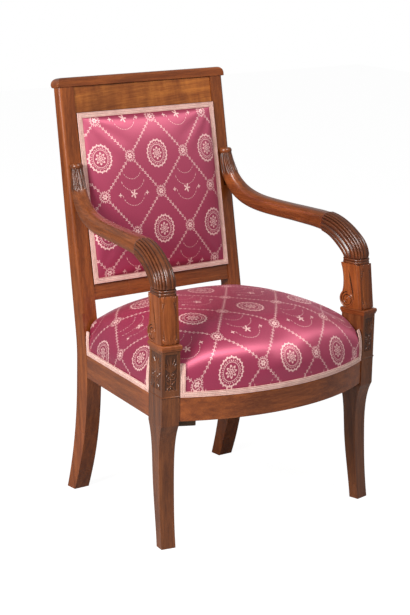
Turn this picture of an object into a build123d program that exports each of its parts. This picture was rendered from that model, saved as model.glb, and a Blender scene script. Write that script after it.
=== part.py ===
# Open armchair in polished mahogany: sabre legs, scrolled arms with reeded shoulders, bowed seat.
# Millimetres, +Z up. The chair faces -Y and stands on Z = 0; left and right are as seen from the front.
import os
from math import asin, atan2, copysign, cos, degrees, hypot, pi, radians, sin, tan

from build123d import *

os.makedirs("parts", exist_ok=True)

# Front posts: sabre leg and square block in one piece, turned to lie along the side rails
front_post_x = 268.0
front_post_y = -193.0
front_post_width = 41.0
front_post_depth = 61.0
front_post_top = 426.0
knee_z = 268.0
shin_z = 150.0
shin_width = 35.0
shin_front = -18.0
shin_rear = 13.0
front_foot_width = 33.0
front_foot_front = -33.0
front_foot_rear = -9.0
# Directions of the leg's curves: run and rise at each end
rear_knee_slope = (-0.45, -1)
heel_slope = (-0.12, -1)
toe_slope = (0.16, 1)
front_knee_slope = (-0.5, 1)
side_knee_slope = (-0.06, -1)
side_foot_slope = (0, -1)
panel_margin = 7.0
panel_recess = 1.5
panel_foot_z = 343.0

# Moulded cap on each front post
post_cap_height = 12.4
post_cap_overhang = 3.0
post_cap_neck = 4.0
post_cap_round = 3.0

# Back posts: rear leg and stile in one piece
back_post_x = 209.0
back_post_width = 38.0
back_post_y = 143.0
back_post_depth = 40.0
back_post_top_depth = 20.0
back_leg_top = 250.0
back_foot_sweep = 46.0
back_foot_depth = 29.0
rake = 11.0
rake_bend_z = 310.0
rear_bend_z = 338.0
rake_bend_radius = 400.0
stile_round = 9.0
stile_round_start = -60.0

# Seat rails
rail_bottom = 274.0
rail_face_height = 51.0
tack_band_height = 15.0
rail_thickness = 30.0
bow_front_y = -288.0
bow_setback = 2.0
rear_rail_setback = 10.0
rear_rail_thickness = 26.0

# Joints
tenon_length = 15.0
tenon_thickness = 10.0
tenon_shoulder = 8.0
tenon_root = 4.0
joint_clearance = 0.1
mortise_end_gap = 1.0
dowel_diameter = 10.0
dowel_depth = 18.0

# Back frame, measured up the rake from the lower edge of the upholstery
back_opening_z = 475.0
back_opening_height = 379.0
lower_rail_height = 35.0
crest_panel_height = 58.0
back_rail_thickness = 18.0
back_rail_setback = 2.0
crest_cap_height = 21.0
crest_cap_front = 2.0
crest_cap_rear = 7.5
crest_cap_end = 3.0
crest_corner_radius = 15.0
crest_nose_radius = 8.0

# Arms: centre line from the ring on the support, over the reeded shoulder, to the disc on the stile
ring_bead_height = 6.0
ring_swell = 1.6
ring_steps = 3
arm_foot_back = 12.0
arm_foot_width = 44.0
arm_foot_depth = 51.0
arm_foot_round = 11.0
reed_count = 18
reed_bulge = 1.6
arm_tenon_width = 12.0
arm_tenon_height = 26.0
arm_tenon_up = 197.0
disc_diameter = 30.0
disc_height = 13.0
disc_round = 3.5
disc_forward = 8.0
disc_up = 257.0
reed_square = 0.75
quirk = 0.8
quirk_depth = 6.0
quirk_core = 3.0
# Points of the centre line between ring and disc: share of the run, bow outward, share of the rise
arm_points = [
    (0.06, 0, 0.194),
    (0.17, 0.8, 0.335),
    (0.32, 2, 0.381),
    (0.48, 3.5, 0.393),
    (0.64, 3.9, 0.407),
    (0.78, 3.8, 0.447),
    (0.88, 2.7, 0.539),
    (0.955, 1.3, 0.708),
]
# Share of the centre line, width and thickness across it
shoulder_end = 0.24
reeded_sections = [
    (0, 44, 51),
    (0.05, 44, 52),
    (0.12, 42.5, 50),
    (shoulder_end, 41, 43),
]
plain_sections = [
    (shoulder_end, 39.5, 41),
    (0.32, 37.5, 38.5),
    (0.46, 35.5, 36.5),
    (0.66, 34, 37),
    (0.75, 33.5, 38.5),
    (0.82, 32.5, 39.5),
    (0.88, 31, 38),
    (0.94, 29, 33),
    (1, 27, 26),
]
arm_round = 12.5

# Arm supports, heights measured from the top of the cap
support_height = 99.6
support_front_foot = -25.0
volute_radius = 20.0
volute_back = 17.0
scroll_neck_back = 29.0
scroll_neck_up = 65.0
volute_groove = 2.0
volute_start = 50.0
volute_half_turns = 3
volute_shrink = 3.0
carving_depth = 1.6
crease_head = (16.0, 86.0)
crease_rear = (8.0, 52.0)
crease_front = (4.0, 52.0)
crease_foot = (-2.0, 18.0)
support_tenon = 18.0
support_tenon_depth = 30.0

# Upholstery
gimp_width = 12.0
gimp_thickness = 2.5
cover_thickness = 1.5
hessian_thickness = 1.2
webbing_width = 52.0
webbing_thickness = 1.6
webbing_pitch = 62.0
webbing_inset = 8.0
webbing_step = 12.0
cross_webbing_y = -120.0
long_straps = 6
back_straps = 3
cross_straps = 4
seat_height = 118.0
seat_roll = 150.0
seat_bulge = 9.0
pad_frame_width = 22.0
pad_frame_thickness = 14.0
back_crown = 24.0
back_roll = 110.0
back_bulge = 2.0
roll_fullness = 0.8
roll_steps = 5
soft_clearance = 0.4

# Corner blocks
corner_block_height = 42.0
corner_block_leg = 52.0
front_block_drop = 20.0

# Worked-out places
show_top = rail_bottom + rail_face_height
rail_top = show_top + tack_band_height
back_post_inner = back_post_x - back_post_width / 2
back_post_outer = back_post_x + back_post_width / 2
half_post_width = front_post_width / 2
half_post_depth = front_post_depth / 2
support_bottom = front_post_top + post_cap_height
ring_bottom = support_bottom + support_height
mortise_length = tenon_length + mortise_end_gap
tack_band_depth = gimp_thickness + cover_thickness

# The side rail's outer face is flush with the front block's and meets the back post's outer corner
run_x = front_post_x - back_post_outer
run_y = back_post_y - front_post_y
splay = atan2(run_x, run_y) + asin(half_post_width / hypot(run_x, run_y))
outward = Vector(cos(splay), sin(splay), 0)
backward = Vector(-sin(splay), cos(splay), 0)
post_centre = Vector(front_post_x, front_post_y, 0)
side_rail_reach = run_y / cos(splay)

# Right front post: plan (x outward, y back), side (x back, y up) and front (x outward, y up)
post_plan = Plane(origin=post_centre, x_dir=outward, z_dir=(0, 0, 1))
post_side = Plane(origin=post_centre, x_dir=backward, z_dir=outward)
post_front = Plane(origin=post_centre, x_dir=outward, z_dir=-backward)

# Raked plane of the stiles' front faces: x across, y up the rake, z towards the sitter
rake_up = Vector(0, sin(radians(rake)), cos(radians(rake)))
rake_front = Vector(0, -cos(radians(rake)), sin(radians(rake)))
back_origin_y = back_post_y + tan(radians(rake)) * (back_opening_z - rake_bend_z)
back_origin = Vector(0, back_origin_y, back_opening_z)
back_plane = Plane(origin=back_origin, x_dir=(1, 0, 0), z_dir=rake_front)
stile_top = back_opening_height + crest_panel_height

# Front rail: arc through both post corners and the foremost point
bow_corner = post_centre - outward * half_post_width - backward * (half_post_depth - bow_setback)
bow_rise = bow_corner.Y - bow_front_y
bow_radius = (bow_corner.X**2 + bow_rise**2) / (2 * bow_rise)
bow_centre_y = bow_front_y + bow_radius
rear_rail_front = back_post_y + rear_rail_setback
rear_rail_rear = rear_rail_front + rear_rail_thickness


def write(piece, label):
    piece.part.label = label
    export_step(piece.part, f"parts/{label}.step")


def write_pair(right_piece, name):
    """Write a right-hand piece and its mirror image."""
    write(right_piece, f"right_{name}")
    with BuildPart() as left_piece:
        mirror(right_piece.part, about=Plane.YZ)
    write(left_piece, f"left_{name}")


def at_post(back, out, height):
    """Point given from the right front post: distance back, distance outward, height."""
    return post_centre + backward * back + outward * out + Vector(0, 0, height)


def on_rake(up, front):
    """Y and Z of a point given up the rake and in front of the stiles."""
    point = back_origin + rake_up * up + rake_front * front
    return (point.Y, point.Z)


def range_box(plane, x_range, y_range, z_range, grow=0.0, mode=Mode.ADD):
    """Box given by its ranges on a plane, grown by a clearance on every side."""
    ranges = (x_range, y_range, z_range)
    middle = tuple((low + high) / 2 for low, high in ranges)
    size = tuple(high - low + 2 * grow for low, high in ranges)
    with Locations(plane):
        with Locations(middle):
            Box(*size, mode=mode)


def rod(foot, direction, diameter, length, mode=Mode.ADD):
    """Round rod from a point along a direction."""
    with Locations(Plane(origin=foot, z_dir=direction)):
        Cylinder(diameter / 2, length, align=(Align.CENTER, Align.CENTER, Align.MIN), mode=mode)


# Tenons: each is added to a rail at its own length and cut from a post with clearance
rail_tenon_z = (rail_bottom + tenon_shoulder, rail_top - tenon_shoulder)
front_tenon_y = (-half_post_depth + tenon_shoulder, -half_post_depth + tenon_shoulder + tenon_thickness)
side_rail_x = (half_post_width - rail_thickness, half_post_width)
side_tenon_x = (side_rail_x[0] + tenon_shoulder, side_rail_x[0] + tenon_shoulder + tenon_thickness)
rear_tenon_y = (rear_rail_rear - tenon_shoulder - tenon_thickness, rear_rail_rear - tenon_shoulder)
back_tenon_front = -back_rail_setback - (back_rail_thickness - tenon_thickness) / 2
back_tenon_z = (back_tenon_front - tenon_thickness, back_tenon_front)
lower_rail_up = (-lower_rail_height + tenon_shoulder, -tenon_shoulder)
crest_panel_up = (back_opening_height + tenon_shoulder, stile_top - tenon_shoulder)


def front_rail_tenon(length, grow, mode):
    reach = (-half_post_width - tenon_root, -half_post_width + length)
    range_box(post_plan, reach, front_tenon_y, rail_tenon_z, grow, mode)


def side_rail_tenons(length, grow, mode):
    front_reach = (half_post_depth - length, half_post_depth + tenon_root)
    rear_reach = (side_rail_reach - 2 * tenon_root, side_rail_reach + length)
    for reach in (front_reach, rear_reach):
        range_box(post_plan, side_tenon_x, reach, rail_tenon_z, grow, mode)


def rear_rail_tenon(length, grow, mode):
    reach = (back_post_inner - tenon_root, back_post_inner + length)
    range_box(Plane.XY, reach, rear_tenon_y, rail_tenon_z, grow, mode)


def back_tenon(up_range, length, grow, mode):
    reach = (back_post_inner - tenon_root, back_post_inner + length)
    range_box(back_plane, reach, up_range, back_tenon_z, grow, mode)


def arm_tenon(length, grow, mode):
    half_width = arm_tenon_width / 2
    across = (back_post_x - half_width, back_post_x + half_width)
    up = (arm_tenon_up - arm_tenon_height / 2, arm_tenon_up + arm_tenon_height / 2)
    range_box(back_plane, across, up, (-length, tenon_root), grow, mode)


def support_tenon_box(depth, grow, mode):
    across = (-support_tenon / 2, support_tenon / 2)
    range_box(post_plan, across, across, (support_bottom - depth, support_bottom + tenon_root), grow, mode)


# Back posts, each sawn from one board: swept back below the seat, raked above it
with BuildPart() as right_back_post:
    with BuildSketch(Plane.YZ.offset(back_post_inner)):
        with BuildLine():
            front_knee = (back_post_y, back_leg_top)
            rear_knee = (back_post_y + back_post_depth, back_leg_top)
            front_toe = (back_post_y + back_foot_sweep, 0)
            rear_toe = (back_post_y + back_foot_sweep + back_foot_depth, 0)
            front_head = on_rake(stile_top, 0)
            rear_head = on_rake(stile_top, -back_post_top_depth)
            TangentArc(front_knee, front_toe, tangent=(0, -1))
            Line(front_toe, rear_toe)
            TangentArc(rear_knee, rear_toe, tangent=(0, -1))
            rear_bend = (back_post_y + back_post_depth, rear_bend_z)
            FilletPolyline(rear_knee, rear_bend, rear_head, radius=rake_bend_radius)
            Line(rear_head, front_head)
            FilletPolyline(front_knee, (back_post_y, rake_bend_z), front_head, radius=rake_bend_radius)
        make_face()
    extrude(amount=back_post_width)
    round_foot = back_origin + rake_up * stile_round_start
    with BuildSketch(Plane(origin=round_foot, x_dir=(1, 0, 0), z_dir=rake_up)):
        with BuildLine():
            round_front = (back_post_outer - stile_round, 0)
            round_side = (back_post_outer, stile_round)
            Polyline(round_front, (back_post_outer, 0), round_side)
            RadiusArc(round_side, round_front, stile_round)
        make_face()
    extrude(amount=stile_top - stile_round_start, mode=Mode.SUBTRACT)
    back_post_blank = right_back_post.part
    side_rail_tenons(mortise_length, joint_clearance, Mode.SUBTRACT)
    rear_rail_tenon(mortise_length, joint_clearance, Mode.SUBTRACT)
    back_tenon(lower_rail_up, mortise_length, joint_clearance, Mode.SUBTRACT)
    back_tenon(crest_panel_up, mortise_length, joint_clearance, Mode.SUBTRACT)
    arm_tenon(mortise_length, joint_clearance, Mode.SUBTRACT)
write_pair(right_back_post, "back_post")

# Front posts: sabre leg below, square block with sunk panels above
with BuildPart() as right_front_leg:
    with BuildSketch(post_side):
        with BuildLine():
            heel = (front_foot_rear, 0)
            toe = (front_foot_front, 0)
            front_knee = (-half_post_depth, knee_z)
            rear_knee = (half_post_depth, knee_z)
            front_top = (-half_post_depth, front_post_top)
            rear_top = (half_post_depth, front_post_top)
            Spline(rear_knee, (shin_rear, shin_z), heel, tangents=(rear_knee_slope, heel_slope))
            Line(heel, toe)
            Spline(toe, (shin_front, shin_z), front_knee, tangents=(toe_slope, front_knee_slope))
            Polyline(front_knee, front_top, rear_top, rear_knee)
        make_face()
    extrude(amount=half_post_width, both=True)
    with BuildSketch(post_front):
        with BuildLine():
            side_knee = (half_post_width, knee_z)
            side_shin = (shin_width / 2, shin_z)
            side_foot = (front_foot_width / 2, 0)
            Polyline((0, front_post_top), (half_post_width, front_post_top), side_knee)
            Spline(side_knee, side_shin, side_foot, tangents=(side_knee_slope, side_foot_slope))
            Line(side_foot, (0, 0))
            mirror(about=Plane.YZ)
        make_face()
    extrude(amount=front_post_depth, both=True, mode=Mode.INTERSECT)
    front_post_blank = right_front_leg.part
    panel_height = front_post_top - panel_margin - panel_foot_z
    panel_middle = panel_foot_z + panel_height / 2
    with BuildSketch(post_front.offset(half_post_depth)):
        with Locations((0, panel_middle)):
            Rectangle(front_post_width - 2 * panel_margin, panel_height)
    extrude(amount=-panel_recess, mode=Mode.SUBTRACT)
    with BuildSketch(post_side.offset(half_post_width)):
        with Locations((0, panel_middle)):
            Rectangle(front_post_depth - 2 * panel_margin, panel_height)
    extrude(amount=-panel_recess, mode=Mode.SUBTRACT)
    front_rail_tenon(mortise_length, joint_clearance, Mode.SUBTRACT)
    side_rail_tenons(mortise_length, joint_clearance, Mode.SUBTRACT)
    support_tenon_box(support_tenon_depth + mortise_end_gap, joint_clearance, Mode.SUBTRACT)
write_pair(right_front_leg, "front_leg")

# Moulded cap between each block and the arm support
with BuildPart() as right_post_cap:
    with BuildSketch(post_plan.offset(front_post_top)):
        Rectangle(front_post_width + post_cap_overhang, front_post_depth + post_cap_overhang)
    extrude(amount=post_cap_neck)
    with BuildSketch(post_plan.offset(front_post_top + post_cap_neck)):
        Rectangle(front_post_width + 2 * post_cap_overhang, front_post_depth + 2 * post_cap_overhang)
    extrude(amount=post_cap_height - post_cap_neck)
    slab_edges = right_post_cap.faces().sort_by(Axis.Z)[-1].outer_wire().edges()
    fillet(slab_edges, radius=post_cap_round)
    support_tenon_box(support_tenon_depth, joint_clearance, Mode.SUBTRACT)
write_pair(right_post_cap, "post_cap")


def spiral_groove(centre_x, centre_z):
    """Face of a spiral groove made of half rings that shrink at every half turn."""
    radius = volute_radius - 2 * volute_groove
    side = 1
    for _ in range(volute_half_turns):
        inner = radius - volute_groove
        with BuildLine() as half_ring:
            for reach in (radius, inner):
                middle = (centre_x + side * reach, centre_z)
                ThreePointArc((centre_x, centre_z + reach), middle, (centre_x, centre_z - reach))
            Line((centre_x, centre_z + radius), (centre_x, centre_z + inner))
            Line((centre_x, centre_z - radius), (centre_x, centre_z - inner))
        make_face(half_ring.edges())
        radius -= volute_shrink
        centre_z -= side * volute_shrink
        side = -side


# Arm supports: front shaft and rear scroll cut from one block, volute and crease carved in both sides
with BuildPart() as right_arm_support:
    support_side = Plane(origin=at_post(0, 0, support_bottom), x_dir=backward, z_dir=outward)
    shaft_front = (arm_foot_back - arm_foot_depth / 2, support_height)
    shaft_rear = (arm_foot_back + arm_foot_depth / 2, support_height)
    volute_turn = radians(volute_start)
    volute_foot = (volute_back, 0)
    volute_rear = (volute_back + volute_radius, volute_radius)
    scroll_foot = (volute_back + volute_radius * cos(volute_turn), volute_radius * (1 + sin(volute_turn)))
    with BuildSketch(support_side):
        with BuildLine():
            Polyline(volute_foot, (support_front_foot, 0), shaft_front, shaft_rear)
            ThreePointArc(shaft_rear, (scroll_neck_back, scroll_neck_up), scroll_foot)
            ThreePointArc(scroll_foot, volute_rear, volute_foot)
        make_face()
    extrude(amount=arm_foot_width / 2, both=True)
    straight_edges = right_arm_support.edges().filter_by(GeomType.LINE)
    fillet(straight_edges.sort_by(SortBy.LENGTH)[-2:], radius=arm_foot_round)
    for side in (1, -1):
        with BuildSketch(support_side.offset(side * arm_foot_width / 2)):
            spiral_groove(volute_back, volute_radius)
            with BuildLine():
                ThreePointArc(crease_head, crease_rear, crease_foot)
                ThreePointArc(crease_foot, crease_front, crease_head)
            make_face()
        extrude(amount=-side * carving_depth, mode=Mode.SUBTRACT)
    support_tenon_box(support_tenon_depth, 0, Mode.ADD)
    support_top = at_post(arm_foot_back, 0, ring_bottom)
    rod(support_top, (0, 0, -1), dowel_diameter + 2 * joint_clearance, dowel_depth, Mode.SUBTRACT)
write_pair(right_arm_support, "arm_support")


def reeded_face(width, depth):
    """Rounded rectangle whose outline is a ring of reeds."""

    def corner(turn, swell):
        x = copysign(abs(cos(turn)) ** reed_square, cos(turn)) * (width / 2 + swell)
        y = copysign(abs(sin(turn)) ** reed_square, sin(turn)) * (depth / 2 + swell)
        return (x, y)

    step = 2 * pi / reed_count
    with BuildLine() as reeds:
        for number in range(reed_count):
            start = number * step
            ThreePointArc(corner(start, 0), corner(start + step / 2, reed_bulge), corner(start + step, 0))
    make_face(reeds.edges())


arm_start = at_post(arm_foot_back, 0, ring_bottom + 2 * ring_bead_height + quirk)
disc_foot = back_origin + Vector(back_post_x, 0, 0) + rake_up * disc_up + rake_front * disc_forward
arm_end = disc_foot + rake_up * disc_round
reach = arm_end - arm_start


def along_arm(run, bow, rise):
    """Point between the arm's ends."""
    return arm_start + Vector(reach.X * run, reach.Y * run, reach.Z * rise) + outward * bow


with BuildLine() as arm_line:
    bends = [along_arm(*place) for place in arm_points]
    Spline(arm_start, *bends, arm_end, tangents=((0, 0, 1), rake_up), tangent_scalars=(1, 1))
arm_centre = arm_line.edge()


def arm_plane(share, ahead=0.0):
    """Plane across the arm's centre line, x outward, moved a little along the line."""
    across = Plane(origin=arm_centre.position_at(share), x_dir=outward, z_dir=arm_centre.tangent_at(share))
    return across.offset(ahead)


# Arms: double ring, reeded shoulder, plain rounded middle, neck and disc against the stile
with BuildPart() as right_arm:
    for step in range(2 * ring_steps + 1):
        swell = ring_swell * abs(sin(pi * step / ring_steps))
        with BuildSketch(post_plan.offset(ring_bottom + step * ring_bead_height / ring_steps)):
            with Locations((0, arm_foot_back)):
                ring_size = (arm_foot_width + 2 * swell, arm_foot_depth + 2 * swell)
                RectangleRounded(*ring_size, arm_foot_round + swell)
    loft(ruled=True)
    for share, width, depth in reeded_sections:
        with BuildSketch(arm_plane(share)):
            reeded_face(width, depth)
    loft(ruled=True)
    for share, width, depth in plain_sections:
        with BuildSketch(arm_plane(share, quirk if share == shoulder_end else 0)):
            RectangleRounded(width, depth, arm_round)
    loft(ruled=True)
    for share, width, depth in (reeded_sections[0], plain_sections[0]):
        with BuildSketch(arm_plane(share, -quirk_core)):
            RectangleRounded(width - 2 * quirk_depth, depth - 2 * quirk_depth, arm_foot_round)
        extrude(amount=2 * quirk_core)
    with BuildSketch(Plane(origin=disc_foot, x_dir=(1, 0, 0), z_dir=rake_front)) as disc_half:
        Rectangle(disc_diameter / 2, disc_height, align=Align.MIN)
        chamfer(disc_half.vertices().group_by(Axis.X)[-1], length=disc_round)
    revolve(axis=Axis(disc_foot, rake_up))
    split(bisect_by=back_plane, keep=Keep.TOP)
    arm_tenon(tenon_length, 0, Mode.ADD)
    arm_foot = at_post(arm_foot_back, 0, ring_bottom)
    rod(arm_foot, (0, 0, 1), dowel_diameter + 2 * joint_clearance, dowel_depth, Mode.SUBTRACT)
write_pair(right_arm, "arm")

# Dowels between the supports and the arms
with BuildPart() as arm_dowels:
    dowel_foot = at_post(arm_foot_back, 0, ring_bottom - dowel_depth + mortise_end_gap)
    rod(dowel_foot, (0, 0, 1), dowel_diameter, 2 * dowel_depth - 2 * mortise_end_gap)
    mirror(about=Plane.YZ)
write(arm_dowels, "arm_dowels")


def edge_x(y, inset):
    """Half width of the seat frame at a depth, drawn in from the side rails' outer faces."""
    return back_post_outer - inset / cos(splay) - (y - back_post_y) * tan(splay)


def seat_plan(inset):
    """Plan of the seat frame drawn in from its outer faces: bowed front, splayed sides, straight rear."""
    rear_y = rear_rail_rear - inset
    far_y = bow_front_y - front_post_depth
    rear_x = edge_x(rear_y, inset)
    far_x = edge_x(far_y, inset)
    Polygon((rear_x, rear_y), (-rear_x, rear_y), (-far_x, far_y), (far_x, far_y), align=None)
    with Locations((0, bow_centre_y)):
        Circle(bow_radius - inset, mode=Mode.INTERSECT)


def clear_posts():
    """Cut away the room of the posts and their caps from what is fitted round them."""
    for blank in (back_post_blank, front_post_blank, cap_room.part):
        add(blank, mode=Mode.SUBTRACT)
        mirror(blank, about=Plane.YZ, mode=Mode.SUBTRACT)


def bow_band(outer_inset, inner_inset):
    """Right half of a band along the bow, between two distances in from its front."""
    with Locations((0, bow_centre_y)):
        Circle(bow_radius - outer_inset)
        Circle(bow_radius - inner_inset, mode=Mode.SUBTRACT)
    with Locations((front_post_x / 2, bow_front_y)):
        Rectangle(front_post_x, 4 * bow_rise, mode=Mode.INTERSECT)


def trim_at_front_post():
    """Cut away what lies beyond the right front post's inner face."""
    far = 2 * front_post_x
    range_box(post_plan, (-half_post_width, far), (-far, far), (0, front_post_top), 0, Mode.SUBTRACT)


# Corner blocks fill the inner corners of the seat frame: triangles in plan, given by their long side
front_block_long_side = [
    (half_post_depth + corner_block_leg, side_rail_x[0]),
    (-half_post_depth / 2, -half_post_width - corner_block_leg),
]
rear_block_front_y = back_post_y - corner_block_leg
rear_block_long_side = [
    (back_post_inner - corner_block_leg, rear_rail_front),
    (edge_x(rear_block_front_y, rail_thickness), rear_block_front_y),
]
block_z = (rail_bottom + tenon_root, rail_bottom + tenon_root + corner_block_height)

# Front corner blocks reach a little below the rails
with BuildPart() as right_front_corner_block:
    with BuildSketch(Plane.XY.offset(rail_bottom - front_block_drop)):
        rail_corner = at_post(front_block_long_side[1][0], side_rail_x[0], 0)
        block_ends = [at_post(back, out, 0) for back, out in front_block_long_side]
        Polygon(*[(corner.X, corner.Y) for corner in (*block_ends, rail_corner)], align=None)
        with Locations((0, bow_centre_y)):
            Circle(bow_radius - rail_thickness, mode=Mode.INTERSECT)
    extrude(amount=block_z[1] - rail_bottom + front_block_drop)
    add(front_post_blank, mode=Mode.SUBTRACT)
write_pair(right_front_corner_block, "front_corner_block")

# Rear corner blocks
with BuildPart() as right_rear_corner_block:
    with BuildSketch(Plane.XY.offset(block_z[0])):
        rear_corner = (edge_x(rear_rail_front, rail_thickness), rear_rail_front)
        Polygon(*rear_block_long_side, rear_corner, align=None)
    extrude(amount=corner_block_height)
    add(back_post_blank, mode=Mode.SUBTRACT)
write_pair(right_rear_corner_block, "rear_corner_block")

# Bowed front rail, rebated along its top for the nailed cloth
with BuildPart() as front_seat_rail:
    with BuildSketch(Plane.XY.offset(rail_bottom)):
        bow_band(0, rail_thickness)
    extrude(amount=rail_face_height)
    with BuildSketch(Plane.XY.offset(show_top)):
        bow_band(tack_band_depth, rail_thickness)
    extrude(amount=tack_band_height)
    trim_at_front_post()
    front_rail_tenon(tenon_length, 0, Mode.ADD)
    mirror(about=Plane.YZ)
write(front_seat_rail, "front_seat_rail")

# Straight side rails, splayed towards the front
with BuildPart() as right_side_rail:
    side_rail_y = (half_post_depth, side_rail_reach + tenon_thickness)
    range_box(post_plan, side_rail_x, side_rail_y, (rail_bottom, show_top))
    side_band_x = (side_rail_x[0], side_rail_x[1] - tack_band_depth)
    range_box(post_plan, side_band_x, side_rail_y, (show_top, rail_top))
    add(back_post_blank, mode=Mode.SUBTRACT)
    side_rail_tenons(tenon_length, 0, Mode.ADD)
write_pair(right_side_rail, "side_rail")

# Rear rail
with BuildPart() as rear_seat_rail:
    half_rail = (0, back_post_inner)
    range_box(Plane.XY, half_rail, (rear_rail_front, rear_rail_rear), (rail_bottom, show_top))
    rear_band_y = (rear_rail_front, rear_rail_rear - tack_band_depth)
    range_box(Plane.XY, half_rail, rear_band_y, (show_top, rail_top))
    rear_rail_tenon(tenon_length, 0, Mode.ADD)
    mirror(about=Plane.YZ)
write(rear_seat_rail, "rear_seat_rail")

# Lower rail and figured panel of the back
back_rail_depth = (-back_rail_setback - back_rail_thickness, -back_rail_setback)
with BuildPart() as lower_back_rail:
    range_box(back_plane, half_rail, (-lower_rail_height, 0), back_rail_depth)
    back_tenon(lower_rail_up, tenon_length, 0, Mode.ADD)
    mirror(about=Plane.YZ)
write(lower_back_rail, "lower_back_rail")

with BuildPart() as crest_panel:
    range_box(back_plane, half_rail, (back_opening_height, stile_top), back_rail_depth)
    back_tenon(crest_panel_up, tenon_length, 0, Mode.ADD)
    mirror(about=Plane.YZ)
write(crest_panel, "crest_panel")

# Moulded cap over both posts and the panel: rounded front, rolled rear nose with a cove under it
with BuildPart() as crest_cap:
    cap_front = -crest_cap_front
    cap_rear = back_post_top_depth + crest_cap_rear
    cap_top = stile_top + crest_cap_height
    cove_top = (cap_rear, stile_top + crest_cap_rear)
    cove_foot = (back_post_top_depth, stile_top)
    with BuildSketch(Plane(origin=back_origin, x_dir=-rake_front, z_dir=(1, 0, 0))) as cap_profile:
        with BuildLine():
            Polyline(cove_foot, (cap_front, stile_top), (cap_front, cap_top), (cap_rear, cap_top), cove_top)
            RadiusArc(cove_top, cove_foot, crest_cap_rear)
        make_face()
        fillet(cap_profile.vertices().group_by(Axis.Y)[-1], radius=crest_nose_radius)
    extrude(amount=back_post_outer + crest_cap_end, both=True)
    with BuildSketch(back_plane) as cap_outline:
        with Locations((0, (stile_top + cap_top) / 2)):
            Rectangle(2 * (back_post_outer + crest_cap_end), crest_cap_height)
        fillet(cap_outline.vertices().group_by(Axis.Y)[-1], radius=crest_corner_radius)
    extrude(amount=2 * cap_rear, both=True, mode=Mode.INTERSECT)
write(crest_cap, "crest_cap")

# Seat webbing: straps from front to rear, then straps across that pass over them
strap_bottom = rail_top
strap_top = rail_top + webbing_thickness
with BuildPart() as seat_webbing_long:
    with BuildSketch(Plane.XY.offset(strap_bottom)):
        seat_plan(webbing_inset)
        with GridLocations(webbing_pitch, 0, long_straps, 1):
            Rectangle(webbing_width, 2 * bow_radius, mode=Mode.INTERSECT)
    extrude(amount=webbing_thickness)
write(seat_webbing_long, "seat_webbing_long")

with BuildPart() as seat_webbing_cross:
    for number in range(cross_straps):
        strap_y = cross_webbing_y + number * webbing_pitch
        strap_end = edge_x(strap_y + webbing_width / 2, webbing_inset)
        step_foot = strap_end - rail_thickness
        step_head = step_foot - webbing_step
        with BuildSketch(Plane.XZ.offset(-strap_y)):
            with BuildLine():
                lifted = strap_top + webbing_thickness
                Polyline((0, strap_top), (step_head, strap_top), (step_foot, strap_bottom))
                Polyline((step_foot, strap_bottom), (strap_end, strap_bottom), (strap_end, strap_top))
                Polyline((strap_end, strap_top), (step_foot, strap_top), (step_head, lifted), (0, lifted))
                mirror(about=Plane.YZ)
            make_face()
        extrude(amount=webbing_width / 2, both=True)
write(seat_webbing_cross, "seat_webbing_cross")

# Hessian over the webbing
hessian_bottom = strap_top + webbing_thickness
stuffing_bottom = hessian_bottom + hessian_thickness
with BuildPart() as cap_room:
    cap_half_width = half_post_width + post_cap_overhang
    cap_half_depth = half_post_depth + post_cap_overhang
    cap_z = (front_post_top, support_bottom)
    cap_ranges = ((-cap_half_width, cap_half_width), (-cap_half_depth, cap_half_depth), cap_z)
    range_box(post_plan, *cap_ranges, soft_clearance)

with BuildPart() as seat_hessian:
    with BuildSketch(Plane.XY.offset(hessian_bottom)):
        seat_plan(webbing_inset)
    extrude(amount=hessian_thickness)
    clear_posts()
write(seat_hessian, "seat_hessian")


def rolled_edge(height, run, bulge):
    """Profile of a full, rounded edge: pairs of height and distance drawn in."""
    turns = [radians(90) * step / roll_steps for step in range(roll_steps + 1)]
    rise = [height * sin(turn) ** roll_fullness for turn in turns]
    drawn_in = [run * (1 - cos(turn) ** roll_fullness) - bulge * sin(2 * turn) for turn in turns]
    return list(zip(rise, drawn_in))


def bands(profile, skin):
    """Height, rise, distance drawn in and slope of each band of a rolled edge, under a skin."""
    lowered = [(height - skin if height else 0, inset + skin) for height, inset in profile]
    for (low, inset), (high, next_inset) in zip(lowered, lowered[1:]):
        yield low, high - low, inset, degrees(atan2(next_inset - inset, high - low))


def seat_dome(skin):
    """Domed seat above the rails, drawn in by the thickness of what covers it."""
    for low, rise, inset, slope in bands(rolled_edge(seat_height, seat_roll, seat_bulge), skin):
        with BuildSketch(Plane.XY.offset(rail_top + low)) as section:
            seat_plan(gimp_thickness + inset)
        extrude(section.sketch, amount=rise, taper=slope)


def seat_skirt(outer_inset, inner_inset, bottom, top):
    """Upright band that follows the seat frame's outline."""
    with BuildSketch(Plane.XY.offset(bottom)) as band:
        seat_plan(outer_inset)
    extrude(band.sketch, amount=top - bottom)
    with BuildSketch(Plane.XY.offset(bottom)) as core:
        seat_plan(inner_inset)
    extrude(core.sketch, amount=top - bottom, mode=Mode.SUBTRACT)


# Seat stuffing: a dome over the hessian
with BuildPart() as seat_stuffing:
    seat_dome(cover_thickness)
    seat_core = seat_stuffing.part
    with BuildSketch(Plane.XY.offset(rail_top)):
        Rectangle(2 * bow_radius, 2 * bow_radius)
    extrude(amount=stuffing_bottom - rail_top, mode=Mode.SUBTRACT)
    clear_posts()
write(seat_stuffing, "seat_stuffing")

# Seat cover: drawn over the stuffing and nailed into the rebate of the rails
with BuildPart() as seat_cover:
    seat_dome(0)
    add(seat_core, mode=Mode.SUBTRACT)
    seat_skirt(gimp_thickness, tack_band_depth, show_top + soft_clearance, rail_top)
    clear_posts()
write(seat_cover, "seat_cover")

# Braid that hides the nailed edge of the seat cover
with BuildPart() as seat_gimp:
    seat_skirt(0, gimp_thickness, show_top, show_top + gimp_width)
    clear_posts()
write(seat_gimp, "seat_gimp")

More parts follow.
